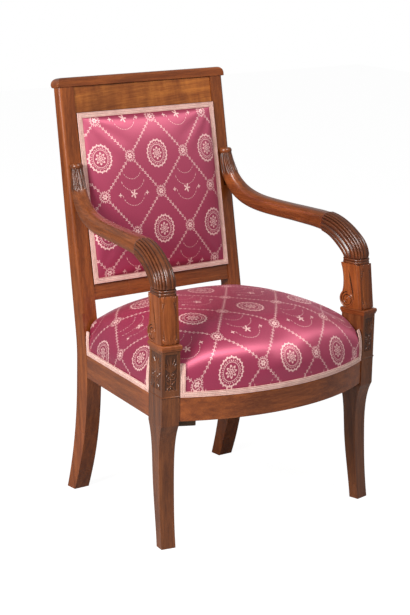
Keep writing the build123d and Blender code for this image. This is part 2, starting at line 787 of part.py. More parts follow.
# Slim frame inside the back opening that the back upholstery is nailed to
half_opening = back_post_inner - soft_clearance
opening_up = (soft_clearance, back_opening_height - soft_clearance)
opening_middle = (0, back_opening_height / 2)
opening_size = (2 * half_opening, opening_up[1] - opening_up[0])


def back_layer(front, thickness, border=0.0):
    """Flat layer over the back opening, or a border of it, with its front at a distance from the stiles."""
    with BuildSketch(back_plane.offset(front - thickness)) as layer:
        with Locations(opening_middle):
            Rectangle(*opening_size)
            if border:
                Rectangle(opening_size[0] - 2 * border, opening_size[1] - 2 * border, mode=Mode.SUBTRACT)
    extrude(layer.sketch, amount=thickness)


def back_pad(base, skin):
    """Crowned pad inside the braid, drawn in by the thickness of what covers it."""
    for low, rise, inset, slope in bands(rolled_edge(back_crown, back_roll, back_bulge), skin):
        border = 2 * (gimp_width + inset)
        with BuildSketch(back_plane.offset(base + low)) as section:
            with Locations(opening_middle):
                Rectangle(opening_size[0] - border, opening_size[1] - border)
        extrude(section.sketch, amount=rise, taper=slope)


with BuildPart() as back_pad_frame:
    back_layer(-back_rail_setback, pad_frame_thickness, pad_frame_width)
write(back_pad_frame, "back_pad_frame")

# Back webbing, hessian and stuffing
with BuildPart() as back_webbing:
    with BuildSketch(back_plane.offset(-back_rail_setback)):
        with Locations(opening_middle):
            with GridLocations(2 * webbing_pitch, 0, back_straps, 1):
                Rectangle(webbing_width, opening_size[1] - pad_frame_width)
    extrude(amount=webbing_thickness)
write(back_webbing, "back_webbing")

back_hessian_front = -back_rail_setback + webbing_thickness + hessian_thickness
with BuildPart() as back_hessian:
    back_layer(back_hessian_front, hessian_thickness)
write(back_hessian, "back_hessian")

with BuildPart() as back_stuffing:
    back_pad(back_hessian_front, cover_thickness)
write(back_stuffing, "back_stuffing")

# Back cover with a flat edge under the braid
back_edge_front = back_hessian_front + cover_thickness
with BuildPart() as back_cover:
    back_layer(back_edge_front, cover_thickness)
    back_pad(back_hessian_front, 0)
    add(back_stuffing.part, mode=Mode.SUBTRACT)
write(back_cover, "back_cover")

with BuildPart() as back_gimp:
    back_layer(back_edge_front + gimp_thickness, gimp_thickness, gimp_width - soft_clearance)
    add(back_cover.part, mode=Mode.SUBTRACT)
write(back_gimp, "back_gimp")

# Plain cloth and braid on the outside of the back
outside_front = -back_rail_setback - pad_frame_thickness
with BuildPart() as outside_back_cloth:
    back_layer(outside_front, hessian_thickness)
write(outside_back_cloth, "outside_back_cloth")

with BuildPart() as outside_back_gimp:
    back_layer(outside_front - hessian_thickness, gimp_thickness, gimp_width)
write(outside_back_gimp, "outside_back_gimp")
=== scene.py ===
import functools
import math

import bmesh
import bpy
import numpy as np
from mathutils import Matrix, Vector


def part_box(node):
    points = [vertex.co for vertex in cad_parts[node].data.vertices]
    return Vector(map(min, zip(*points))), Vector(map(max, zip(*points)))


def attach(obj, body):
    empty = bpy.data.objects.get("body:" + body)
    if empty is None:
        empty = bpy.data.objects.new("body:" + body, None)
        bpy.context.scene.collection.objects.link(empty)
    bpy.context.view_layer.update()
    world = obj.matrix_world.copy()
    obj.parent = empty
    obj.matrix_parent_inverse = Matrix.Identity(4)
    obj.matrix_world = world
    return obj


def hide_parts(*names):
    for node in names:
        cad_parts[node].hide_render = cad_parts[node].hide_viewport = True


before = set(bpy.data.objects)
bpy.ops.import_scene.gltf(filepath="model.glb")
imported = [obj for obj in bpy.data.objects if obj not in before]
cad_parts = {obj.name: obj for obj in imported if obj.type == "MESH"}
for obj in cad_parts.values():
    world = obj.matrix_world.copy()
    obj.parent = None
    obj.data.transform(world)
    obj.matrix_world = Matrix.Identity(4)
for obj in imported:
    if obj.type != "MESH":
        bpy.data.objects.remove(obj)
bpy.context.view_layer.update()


# Back posts
# Rear leg and back stile sawn from one mahogany board, planed, its corners eased with paper,
# then stained and french polished. Mortised for the rails and for the tenon of the arm.
def math_step(operation, swapped=False):
    """Make a method of Wire that adds one math node."""

    def step(wire, other=0.0):
        return calc(operation, *((other, wire) if swapped else (wire, other)))

    return step


class Wire:
    """Output of a node; arithmetic on it adds math nodes to its tree."""

    __add__ = __radd__ = math_step("ADD")
    __sub__, __rsub__ = math_step("SUBTRACT"), math_step("SUBTRACT", swapped=True)
    __mul__ = __rmul__ = math_step("MULTIPLY")
    __truediv__, __pow__, __abs__ = math_step("DIVIDE"), math_step("POWER"), math_step("ABSOLUTE")

    def __init__(self, socket):
        self.socket, self.tree = socket, socket.id_data

    def beside(self, output):
        """Another output of the same node."""
        return Wire(self.socket.node.outputs[output])


def set_inputs(made, inputs):
    """Link each input of a node that is given a Wire, and set any other."""
    for key, value in inputs.items():
        if isinstance(value, Wire):
            value.tree.links.new(value.socket, made.inputs[key])
        else:
            made.inputs[key].default_value = value


def add_node(tree, kind, inputs, output=0, **settings):
    """Add a node and return one of its outputs."""
    made = tree.nodes.new(kind)
    for key, value in settings.items():
        setattr(made, key, value)
    set_inputs(made, inputs)
    return Wire(made.outputs[output])


def tree_of(*values):
    return next(value.tree for value in values if isinstance(value, Wire))


def calc(operation, *values):
    return add_node(tree_of(*values), "ShaderNodeMath", dict(enumerate(values)), operation=operation)


def blend_colours(share, first, second, how="MIX"):
    inputs = {0: share, 6: first, 7: second}
    tree = tree_of(share, first, second)
    return add_node(tree, "ShaderNodeMix", inputs, 2, data_type="RGBA", blend_type=how)


def remap(value, low, high, to_low, to_high):
    """Value from one range brought into another and kept within it."""
    inputs = {"Value": value, "From Min": low, "From Max": high, "To Min": to_low, "To Max": to_high}
    return add_node(value.tree, "ShaderNodeMapRange", inputs)


def colour_steps(value, steps):
    """Colour ramp given as pairs of place and colour."""
    colours = add_node(value.tree, "ShaderNodeValToRGB", {"Fac": value})
    elements = colours.socket.node.color_ramp.elements
    while len(elements) < len(steps):
        elements.new(0.5)
    for element, (place, colour) in zip(elements, steps):
        element.position = place
        element.color = (*colour, 1)
    return colours


def noise(place, scale, detail=3.0, rough=0.55):
    inputs = {"Vector": place, "Scale": scale, "Detail": detail, "Roughness": rough}
    return add_node(place.tree, "ShaderNodeTexNoise", inputs, "Fac")


def stretched(place, along, across):
    """Coordinates scaled differently along X, such as a grain, and across it."""
    return add_node(place.tree, "ShaderNodeMapping", {"Vector": place, "Scale": (along, across, across)})


def bumped(height, strength, distance):
    inputs = {"Height": height, "Strength": strength, "Distance": distance}
    return add_node(height.tree, "ShaderNodeBump", inputs)


def new_material(name):
    material = bpy.data.materials.new(name)
    material.use_nodes = True
    return material, material.node_tree


def set_shader(tree, inputs):
    set_inputs(tree.nodes["Principled BSDF"], inputs)


def polished_mahogany(name, grain, light=(0.34, 0.09, 0.019), dark=(0.13, 0.028, 0.006), figure=0.0):
    """French-polished mahogany whose grain runs along a direction; figure adds mottle across the grain."""
    material, tree = new_material(name)
    turn = Vector(grain).rotation_difference(Vector((1, 0, 0))).to_euler()
    own = add_node(tree, "ShaderNodeTexCoord", {}, "Object")
    place = add_node(tree, "ShaderNodeMapping", {"Vector": own, "Rotation": turn})
    bands = noise(stretched(place, 5, 85), 1.0, 4.0, 0.6)
    fibres = noise(stretched(place, 26, 620), 1.0, 3.0, 0.6)
    pores = noise(stretched(place, 95, 1900), 1.0, 2.0, 0.5)
    patina = noise(place, 7.0, 3.0, 0.5)
    tone = fibres * 0.42 + bands * 0.62
    if figure:
        mottle = noise(stretched(place, 42, 13), 1.0, 3.0, 0.6)
        tone = tone + (mottle - 0.5) * figure
    middle = tuple((a * b) ** 0.5 for a, b in zip(light, dark))
    wood = colour_steps(tone, [(0.36, dark), (0.5, middle), (0.68, light)])
    for wear in (remap(pores, 0.34, 0.46, 0.74, 1.0), remap(patina, 0.3, 0.7, 0.78, 1.12)):
        wood = blend_colours(1.0, wood, wear, "MULTIPLY")
    # Painted shade with old polish: the wood is darkened towards near black by the value marked on the carved
    # pieces.
    shade_and_polish = add_node(tree, "ShaderNodeAttribute", {}, "Fac", attribute_name="shade_and_polish")
    wood = blend_colours(shade_and_polish * 0.86, wood, (0.02, 0.006, 0.003, 1))
    set_shader(tree, {
        "Base Color": wood, "Roughness": patina * 0.16 + 0.18, "Specular IOR Level": 0.35,
        "Coat Weight": 0.18, "Coat Roughness": 0.14, "Normal": bumped(pores, 0.12, 0.0006),
    })
    return material


def link_piece(name, mesh):
    piece = bpy.data.objects.new(name, mesh)
    bpy.context.scene.collection.objects.link(piece)
    return piece


def piece_from(shape, name):
    """Turn a bmesh into a piece and free it."""
    mesh = bpy.data.meshes.new(name)
    shape.to_mesh(mesh)
    shape.free()
    return link_piece(name, mesh)


def finish_piece(piece, material, slot, *nodes):
    """Give a piece its finish and let it stand for CAD nodes."""
    piece.data.materials.clear()
    piece.data.materials.append(material)
    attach(piece, "root")
    if nodes:
        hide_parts(*nodes)
    return piece


def smooth_but_sharp(shape, angle):
    """Smooth shading that keeps edges sharper than an angle."""
    for face in shape.faces:
        face.smooth = True
    for edge in shape.edges:
        edge.smooth = not edge.is_manifold or edge.calc_face_angle(0) < math.radians(angle)


def apply_modifiers(piece):
    seen = piece.evaluated_get(bpy.context.evaluated_depsgraph_get())
    mesh = bpy.data.meshes.new_from_object(seen)
    piece.modifiers.clear()
    piece.data = mesh


def eased_copy(node, ease, material, slot, sharp=32):
    """Wooden piece with its corners eased, as planing and polishing leave them."""
    shape = bmesh.new()
    shape.from_mesh(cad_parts[node].data)
    bmesh.ops.remove_doubles(shape, verts=shape.verts, dist=1e-5)
    bmesh.ops.dissolve_limit(
        shape, angle_limit=math.radians(0.6), verts=shape.verts, edges=shape.edges
    )
    corners = [e for e in shape.edges if e.is_manifold and e.calc_face_angle(0) > math.radians(sharp)]
    bmesh.ops.bevel(
        shape, geom=corners, offset=ease, offset_type="OFFSET", segments=2, profile=0.5,
        affect="EDGES", clamp_overlap=True,
    )
    smooth_but_sharp(shape, 60)
    piece = piece_from(shape, f"{node}_eased")
    piece.modifiers.new("weigh", "WEIGHTED_NORMAL").keep_sharp = True
    apply_modifiers(piece)
    return finish_piece(piece, material, slot, node)


sides = {"left": -1, "right": 1}  # with the sign of X
upright_mahogany = polished_mahogany("upright_mahogany", (0.03, 0.12, 1))
for side in sides:
    eased_copy(f"{side}_back_post", 0.0014, upright_mahogany, "mahogany")


# Front legs
# Sabre leg and square block in one piece of mahogany, bowed forward at the foot. The block's front and
# outer side have sunk panels with carved palmettes, and a bead is cut round it at the top of the rails.
post_x, post_y = 0.268, -0.193
post_width, post_depth = 0.041, 0.061
stile_x, stile_y = 0.228, 0.143  # outer front corner of the back posts
run_x, run_y = post_x - stile_x, stile_y - post_y
splay = math.atan2(run_x, run_y) + math.asin(post_width / 2 / math.hypot(run_x, run_y))
post_at = Vector((post_x, post_y, 0))
post_out = Vector((math.cos(splay), math.sin(splay), 0))
post_back = Vector((-math.sin(splay), math.cos(splay), 0))
# A darker copy of the polished mahogany for the legs, their blocks, carvings and beads: painted shade, for
# the weaker light low down by the floor.
shaded_leg_mahogany = polished_mahogany(
    "shaded_leg_mahogany", (0, 0.1, 1), light=(0.235, 0.072, 0.02), dark=(0.085, 0.023, 0.007)
)
for side in sides:
    eased_copy(f"{side}_front_leg", 0.0012, shaded_leg_mahogany, "mahogany")


def lift(z):
    return Vector((0, 0, z))


def mesh_piece(name, points, faces, sharp, sign=1):
    """Object from points and faces, with outward normals; sign -1 turns a right piece into a left one."""
    shape = bmesh.new()
    corners = [shape.verts.new((sign * x, y, z)) for x, y, z in points]
    for face in faces:
        shape.faces.new([corners[i] for i in face])
    bmesh.ops.recalc_face_normals(shape, faces=shape.faces)
    smooth_but_sharp(shape, sharp)
    return piece_from(shape, name)


def grid_faces(rows, columns, wrap=False):
    """Quads over points laid out row by row; wrap joins the last column to the first."""
    faces = []
    for i in range(rows - 1):
        for j in range(columns if wrap else columns - 1):
            k = (j + 1) % columns
            faces.append((i * columns + j, i * columns + k, (i + 1) * columns + k, (i + 1) * columns + j))
    return faces


def loop_faces(loops):
    """Quads between closed loops of point numbers, each as long as the next."""
    faces = []
    for first, second in zip(loops, loops[1:]):
        faces += zip(first, first[1:] + first[:1], second[1:] + second[:1], second)
    return faces


def rim_of(rows, columns):
    """Point numbers round the edge of a grid of points."""
    right = [i * columns + columns - 1 for i in range(1, rows)]
    high = [(rows - 1) * columns + j for j in range(columns - 2, -1, -1)]
    left = [i * columns for i in range(rows - 2, 0, -1)]
    return [*range(columns), *right, *high, *left]


def mark_shade_and_polish(piece, shares):
    """Record how deep each vertex lies in the carved hollows, where the wood is darkened: painted shade, with
    old polish and dust gathered there.
    """
    layer = piece.data.attributes.new("shade_and_polish", "FLOAT", "POINT")
    layer.data.foreach_set("value", np.asarray(shares, dtype=np.float32))


slab_depth, carving_sharp = 0.0006, 75


def relief(name, origin, across, up, out, size, step, height_of, sign):
    """Carving in low relief: a closed slab whose face follows a height in metres over across and up."""
    columns, rows = (int(side / step) + 1 for side in size)
    along = np.linspace(-0.5, 0.5, columns) * size[0], np.linspace(-0.5, 0.5, rows) * size[1]
    u, v = np.meshgrid(*along)
    height, shade_and_polish = (share.reshape(-1) for share in height_of(u, v))
    ground = np.array(origin) + u.reshape(-1, 1) * np.array(across) + v.reshape(-1, 1) * np.array(up)
    rim = rim_of(rows, columns)
    sunk = list(range(len(ground), len(ground) + len(rim)))
    points = [*(ground + height[:, None] * np.array(out)), *(ground[rim] - np.array(out) * slab_depth)]
    faces = [*grid_faces(rows, columns), *loop_faces([rim, sunk]), sunk]
    piece = mesh_piece(name, points, faces, carving_sharp, sign)
    mark_shade_and_polish(piece, np.concatenate([shade_and_polish, shade_and_polish[rim]]))
    return piece


def rounded(away):
    """Height share of a round moulding at a share of its half width."""
    return np.clip(1 - away**2, 0, 1) ** 0.5


def leaf(u, v, foot, turn, length, width):
    """Height share of a pointed leaf with a midrib, from its foot along a direction turned from upright."""
    along = (u - foot[0]) * math.sin(turn) + (v - foot[1]) * math.cos(turn)
    aside = (u - foot[0]) * math.cos(turn) - (v - foot[1]) * math.sin(turn)
    share = np.clip(along / length, 0, 1)
    half = width / 2 * np.sin(np.pi * share**0.75) ** 0.8 + 1e-6
    inside = (along > 0) & (along < length)
    rib = 0.35 * np.exp(-((aside / (width * 0.09)) ** 2))
    return np.where(inside, rounded(aside / half) * (1 - rib), 0)


def ring_share(u, v, centre, radius, width):
    return rounded((np.hypot(u - centre[0], v - centre[1]) - radius) / (width / 2))


def palmette(w, leaves):
    """Palmette on a stem between two scrolls, over a low arch; sizes follow w, half the panel's width."""
    scroll_down, arch_down = -0.0075, -0.0375

    def height_of(u, v):
        parts = [np.zeros_like(u)]
        for n in range(leaves):
            turn = (n - (leaves - 1) / 2) * (1.9 / (leaves - 1))
            reach = 0.033 - 0.0105 * abs(turn) ** 1.3
            parts.append(leaf(u, v, (0.05 * w * math.sin(turn), 0), turn * w / 0.0145, reach, 0.36 * w))
        for sign in (-1, 1):
            scroll = (sign * 0.5 * w, scroll_down)
            parts.append(0.9 * ring_share(u, v, scroll, 0.30 * w, 0.16 * w))
            parts.append(0.8 * leaf(u, v, (sign * 0.12 * w, -0.027), sign * 0.75, 0.014, 0.3 * w))
            parts.append(ring_share(u, v, scroll, 0.0, 0.2 * w))
        parts.append(0.9 * rounded(u / (0.09 * w)) * (np.abs(v + 0.014) < 0.015))
        parts.append(0.8 * rounded((v + 0.0145) / 0.0011) * (np.abs(u) < 0.72 * w))
        parts.append(ring_share(u, v, (0, arch_down), 0.62 * w, 0.17 * w))
        parts.append(0.8 * leaf(u, v, (0, arch_down), 0.0, 0.5 * w, 0.34 * w))
        raised = np.clip(np.maximum.reduce(parts), 0, 1)
        # The ground round the carving is darkened: painted shade in the sunk panel, with old polish.
        return 0.0019 * raised, 0.62 * (1 - raised) ** 0.8

    return height_of


panel_foot, panel_height, panel_sunk, carving_height = 0.343, 0.076, 0.0014, 0.0748
panel_middle = post_at + lift(panel_foot + panel_height / 2)
panels = [
    ("front", -post_back, post_depth, post_out, 0.0258, 0.0005, palmette(0.0129, 7)),
    ("outer", post_out, post_width, post_back, 0.0458, 0.0006, palmette(0.0215, 9)),
]
for side, sign in sides.items():
    for label, out, thick, across, wide, step, design in panels:
        carving = relief(
            f"{side}_block_{label}_carving", panel_middle + out * (thick / 2 - panel_sunk), across,
            (0, 0, 1), out, (wide, carving_height), step, design, sign,
        )
        finish_piece(carving, shaded_leg_mahogany, "mahogany")


def strip(name, path, outs, profile, closed=False, sign=1):
    """Moulding or tape swept along a path with mitred corners. Profile points are across and out."""
    path = [Vector(p) for p in path]
    outs = [Vector(o).normalized() for o in outs]
    count = len(path)
    points = []
    for i in range(count):
        before = path[i] - path[i - 1] if closed or i > 0 else path[1] - path[0]
        after = path[(i + 1) % count] - path[i] if closed or i < count - 1 else path[-1] - path[-2]
        first = outs[i].cross(before.normalized())
        second = outs[i].cross(after.normalized())
        mitre = (first + second).normalized()
        mitre /= max(0.4, mitre.dot(first))
        points += [path[i] + mitre * across + outs[i] * out for across, out in profile]
    size = len(profile)
    start, end = list(range(size)), list(range((count - 1) * size, count * size))
    faces = grid_faces(count, size, wrap=True) + (loop_faces([end, start]) if closed else [start, end])
    return mesh_piece(name, points, faces, 50, sign)


bead_z = 0.3285
bead_round = [(-0.0016, -0.0004), (-0.0012, 0.0007), (0, 0.0012), (0.0012, 0.0007), (0.0016, -0.0004)]
inner = post_at - post_out * (post_width / 2) - post_back * (post_depth / 2) + lift(bead_z)
corner = inner + post_out * post_width
bead_path = [inner, corner, corner + post_back * post_depth]
bead_outs = [-post_back, post_out - post_back, post_out]
for side, sign in sides.items():
    bead = strip(f"{side}_block_bead", bead_path, bead_outs, bead_round, sign=sign)
    finish_piece(bead, shaded_leg_mahogany, "mahogany")


# Post caps
# Small mahogany mouldings, a neck under a rounded slab, planed to profile and slipped over the
# support's tenon before the support is glued down.
sideways_mahogany = {
    side: polished_mahogany(f"{side}_sideways_mahogany", (sign * post_back.x, post_back.y, 0))
    for side, sign in sides.items()
}
for side in sides:
    eased_copy(f"{side}_post_cap", 0.0005, sideways_mahogany[side], "mahogany")


# Seat rails
# A bowed front rail and splayed side rails in polished mahogany, tenoned into the legs; the rear rail
# and the corner blocks behind them are plain beech, sawn and glued, and never polished.
across_mahogany = polished_mahogany("across_mahogany", (1, 0, 0))
eased_copy("front_seat_rail", 0.0009, across_mahogany, "mahogany")
for side in sides:
    eased_copy(f"{side}_side_rail", 0.0009, sideways_mahogany[side], "mahogany")


def sawn_beech(name):
    """Unpolished beech with flecks and faint saw marks."""
    material, tree = new_material(name)
    place = add_node(tree, "ShaderNodeTexCoord", {}, "Object")
    bands = noise(stretched(place, 9, 60), 1.0, 4.0, 0.6)
    flecks = noise(stretched(place, 160, 900), 1.0, 2.0, 0.5)
    # The steps are darker than fresh beech: aged wood, darkened further as painted shade for the blocks and
    # rail that sit under the seat.
    steps = [(0.36, (0.06, 0.03, 0.015)), (0.66, (0.17, 0.095, 0.05))]
    saw = add_node(tree, "ShaderNodeTexWave", {"Vector": place, "Scale": 160.0, "Distortion": 1.5}, "Fac")
    set_shader(tree, {
        "Base Color": colour_steps(flecks * 0.45 + bands * 0.6, steps), "Roughness": 0.72,
        "Normal": bumped(saw, 0.12, 0.0005),
    })
    return material


beech = sawn_beech("sawn_beech")
eased_copy("rear_seat_rail", 0.0008, beech, "frame_wood")
for side in sides:
    for place in ("front", "rear"):
        eased_copy(f"{side}_{place}_corner_block", 0.0012, beech, "frame_wood")
for node in ("arm_dowels", "back_pad_frame"):
    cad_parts[node].data.materials.clear()
    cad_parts[node].data.materials.append(beech)


# Arm supports
# Short mahogany shafts sawn with a scroll behind, the volute grooved on both cheeks. A long lotus leaf
# is carved on the rounded front, with a small curled leaf at its foot. Tenoned through the cap.
support_foot, support_height = 0.4384, 0.0996
support_width, support_round, support_front = 0.044, 0.011, 0.025
groove_depth, groove_start, scroll_sunk = 0.0007, -0.012, 0.0002
for side, sign in sides.items():
    support = eased_copy(f"{side}_arm_support", 0.0005, upright_mahogany, "mahogany", 40)
    # Vertices sunk in the cheek grooves are darkened: painted shade with old polish in the groove.
    grooved = []
    for vertex in support.data.vertices:
        spot = Vector((sign * vertex.co.x, vertex.co.y, 0)) - post_at
        sunk = abs(spot.dot(post_out)) < support_width / 2 - groove_depth
        behind = spot.dot(post_back) > groove_start
        grooved.append(float(sunk and behind and vertex.co.z > support_foot))
    mark_shade_and_polish(support, grooved)
volute_back, volute_up = 0.017, 0.020
scroll_line = [
    (0.0342, 0.0965), (0.0312, 0.090), (0.0283, 0.082), (0.0263, 0.073), (0.0254, 0.064),
    (0.0253, 0.055), (0.0262, 0.045),
]
for n in range(29):
    turn = math.radians(50 - 10 * n)
    radius = 0.0177 - 0.0038 * max(0, n - 14) / 14
    scroll_line.append((volute_back + radius * math.cos(turn), volute_up + radius * math.sin(turn)))
scroll_round = [
    (-0.0021, -0.0004), (-0.0018, 0.0008), (-0.0010, 0.0015), (0, 0.0018), (0.0010, 0.0015),
    (0.0018, 0.0008), (0.0021, -0.0004),
]
eye_radius, eye_height, eye_sunk, eye_rings, eye_turns = 0.0036, 0.0026, 0.0005, 5, 20
eye_angles = np.linspace(0, math.pi / 2, eye_rings + 1)
eye_round = [(eye_radius * math.cos(a), eye_height * math.sin(a) - eye_sunk) for a in eye_angles]
eye_edge, eye_tip = (eye_rings - 1) * eye_turns, eye_rings * eye_turns
eye_faces = grid_faces(eye_rings, eye_turns, wrap=True) + [tuple(range(eye_turns))]
eye_faces += [(eye_edge + n, eye_edge + (n + 1) % eye_turns, eye_tip) for n in range(eye_turns)]
for side, sign in sides.items():
    for cheek, facing in (("outer", post_out), ("inner", -post_out)):
        face = post_at + facing * (support_width / 2 - scroll_sunk) + lift(support_foot)
        places = [face + post_back * back + lift(up) for back, up in scroll_line]
        scroll = strip(
            f"{side}_{cheek}_scroll", places, [facing] * len(places), scroll_round, sign=sign
        )
        finish_piece(scroll, upright_mahogany, "mahogany")
        centre = face + post_back * volute_back + lift(volute_up)
        eye_points = [
            centre + post_back * (r * math.cos(t)) + lift(r * math.sin(t)) + facing * h
            for r, h in eye_round[:-1] for t in np.arange(eye_turns) * 2 * math.pi / eye_turns
        ]
        eye_points.append(centre + facing * eye_round[-1][1])
        eye = mesh_piece(f"{side}_{cheek}_volute_eye", eye_points, eye_faces, 60, sign)
        finish_piece(eye, upright_mahogany, "mahogany")
leaf_wide, leaf_tall, leaf_step = 0.0425, 0.098, 0.0006


def lotus(u, v):
    """Front of the shaft: its rounded corners, a long plain leaf with carved edges and small leaves below."""
    beyond = np.clip(np.abs(u) - (support_width / 2 - support_round), 0, support_round * 0.985)
    rounding = support_round - np.sqrt(support_round**2 - beyond**2)
    tall = v / leaf_tall + 0.5
    edge = 0.0165 * np.sin(np.pi * np.clip(0.1 + 0.86 * tall, 0, 1)) ** 0.55
    body = np.clip(1 - (u / (edge + 1e-6)) ** 2, 0, 1) ** 0.35
    rim = np.exp(-(((np.abs(u) - edge) / 0.0011) ** 2))
    teeth = 0.5 + 0.5 * np.cos(v / 0.0042 * 2 * np.pi)
    fringe = np.exp(-(((np.abs(u) - edge - 0.0028) / 0.0017) ** 2)) * teeth
    foot = [
        leaf(u, v, (n * 0.0035, -leaf_tall / 2), n * 0.42, 0.024 - 0.003 * abs(n), 0.0075)
        for n in range(-2, 3)
    ]
    head = [leaf(u, v, (n * 0.006, 0.0495), math.pi + n * 0.16, 0.017, 0.0065) for n in range(-3, 4)]
    raised = np.maximum.reduce([
        0.75 * body - 0.8 * rim * (body > 0), 0.6 * fringe, 1.1 * np.maximum.reduce(foot),
        0.8 * np.maximum.reduce(head),
    ])
    raised = np.clip(raised, 0, 1.2)
    # Painted shade with old polish on the ground round the leaves, less at the rounded flanks.
    shade = np.clip(1 - raised / 0.55, 0, 1) * np.clip((0.0205 - np.abs(u)) / 0.003, 0.1, 1)
    return 0.0022 * raised - rounding + 0.0001, 0.6 * shade


arm_back, ring_width, ring_depth = 0.012, 0.044, 0.051
shaft_lean = lift(support_height) + post_back * (arm_back - ring_depth / 2 + support_front)
shaft_up = shaft_lean.normalized()
shaft_out = post_out.cross(shaft_up).normalized()
shaft_middle = post_at - post_back * support_front + lift(support_foot) + shaft_lean / 2
for side, sign in sides.items():
    carving = relief(
        f"{side}_support_leaf", shaft_middle, post_out, shaft_up, shaft_out, (leaf_wide, leaf_tall),
        leaf_step, lotus, sign,
    )
    finish_piece(carving, upright_mahogany, "mahogany")


# Arms
# Each arm is sawn in an S from one mahogany plank and carved: a double ring over the support, a reeded
# shoulder, a plain rounded middle and a short reeded neck under the turned disc against the stile.
rake = math.radians(11)
rake_foot_z, back_foot_z = 0.310, 0.475  # where the stiles start to lean and the back opening starts
rake_up = Vector((0, math.sin(rake), math.cos(rake)))
rake_front = Vector((0, -math.cos(rake), math.sin(rake)))
back_at = Vector((0, stile_y + math.tan(rake) * (back_foot_z - rake_foot_z), back_foot_z))


def on_back(x, up, front):
    """Place on the raked back: across, up from the foot of its opening and in front of the stiles."""
    return back_at + Vector((x, 0, 0)) + rake_up * up + rake_front * front


ring_foot = post_at + post_back * arm_back + lift(support_foot + support_height)
ring_height, ring_bead, ring_steps = 0.012, 0.0034, 18
groove_up, groove_in = 0.0122, 0.0025
shoulder_up, neck_up = 0.0128, 0.0035  # start over the ring's foot, end over the disc's foot
disc_x, disc_up, disc_front = 0.209, 0.257, 0.008
disc_foot = on_back(disc_x, disc_up, disc_front)
arm_start, arm_end = ring_foot + lift(shoulder_up), disc_foot + rake_up * neck_up
arm_bends = [  # share of the run, bow outwards and share of the rise
    (0.06, 0, 0.194), (0.17, 0.0008, 0.335), (0.32, 0.002, 0.381), (0.48, 0.0035, 0.393),
    (0.64, 0.0039, 0.407), (0.78, 0.0038, 0.447), (0.88, 0.0027, 0.539), (0.955, 0.0013, 0.708),
]
arm_widths = np.array([  # share of the length, width and depth in millimetres
    (0, 44, 51), (0.05, 44, 52), (0.12, 42.5, 50), (0.239, 41, 43), (0.241, 39.5, 41), (0.32, 37.5, 38.5),
    (0.46, 35.5, 36.5), (0.66, 34, 37), (0.75, 33, 38), (0.82, 31, 38), (0.88, 29, 35.5), (0.94, 26, 30),
    (1, 22, 22),
])
shoulder_end, neck_start = 0.24, 0.885
shoulder_reed, neck_reed, full_reed = 0.0026, 0.0016, 0.0014
reeds, points_per_reed = 18, 8
around = reeds * points_per_reed
carved_dark = 0.4  # the carved parts are darker all over
stations = 220


def clamped_spline(points, first_slope, last_slope, count):
    """Points and tangents, evenly spaced, on a smooth line through points with given end directions."""
    p = np.array(points)
    t = np.concatenate([[0], np.cumsum(np.linalg.norm(np.diff(p, axis=0), axis=1))])
    n = len(p)
    h = np.diff(t)
    system = np.zeros((n, n))
    right = np.zeros((n, 3))
    system[0, 0] = system[-1, -1] = 1
    right[0], right[-1] = first_slope, last_slope
    for i in range(1, n - 1):
        system[i, i - 1 : i + 2] = h[i], 2 * (h[i - 1] + h[i]), h[i - 1]
        right[i] = 3 * (h[i] * (p[i] - p[i - 1]) / h[i - 1] + h[i - 1] * (p[i + 1] - p[i]) / h[i])
    m = np.linalg.solve(system, right)
    fine = np.linspace(0, t[-1], 4000)
    k = np.clip(np.searchsorted(t, fine, side="right") - 1, 0, n - 2)
    s = ((fine - t[k]) / h[k])[:, None]
    g = h[k][:, None]
    line = (
        (1 + 2 * s) * (1 - s) ** 2 * p[k] + s * (1 - s) ** 2 * g * m[k]
        + s**2 * (3 - 2 * s) * p[k + 1] + s**2 * (s - 1) * g * m[k + 1]
    )
    length = np.concatenate([[0], np.cumsum(np.linalg.norm(np.diff(line, axis=0), axis=1))])
    even = np.linspace(0, length[-1], count)
    places = np.stack([np.interp(even, length, line[:, i]) for i in range(3)], axis=1)
    tangents = np.gradient(places, axis=0)
    return places, tangents / np.linalg.norm(tangents, axis=1)[:, None]


sections, arm_shade_and_polish = [], []


def add_section(centre, tangent, width, depth, square, swell, dark=0.0):
    """Add a ring of points across the arm; swell is the height of the reeds and dark deepens its tone, as
    painted shade with old polish.
    """
    turns = np.arange(around) * 2 * math.pi / around
    crown = np.sin(np.pi * (np.arange(around) % points_per_reed) / points_per_reed) ** 0.75
    z = np.array(tangent)
    x = np.array(post_out) - z * np.dot(np.array(post_out), z)
    x /= np.linalg.norm(x)
    y = np.cross(z, x)
    cos, sin = np.cos(turns), np.sin(turns)
    a = np.sign(cos) * np.abs(cos) ** square * (width / 2 + swell * (crown - 0.25))
    b = np.sign(sin) * np.abs(sin) ** square * (depth / 2 + swell * (crown - 0.25))
    sections.append(np.array(centre) + a[:, None] * x + b[:, None] * y)
    # Painted shade with old polish in the valleys between the reeds, over the darker tone of all the carved
    # parts.
    shade_and_polish = carved_dark + (1 - carved_dark) * (1 - crown) ** 1.3
    arm_shade_and_polish.append(dark + shade_and_polish * min(1, swell / full_reed))


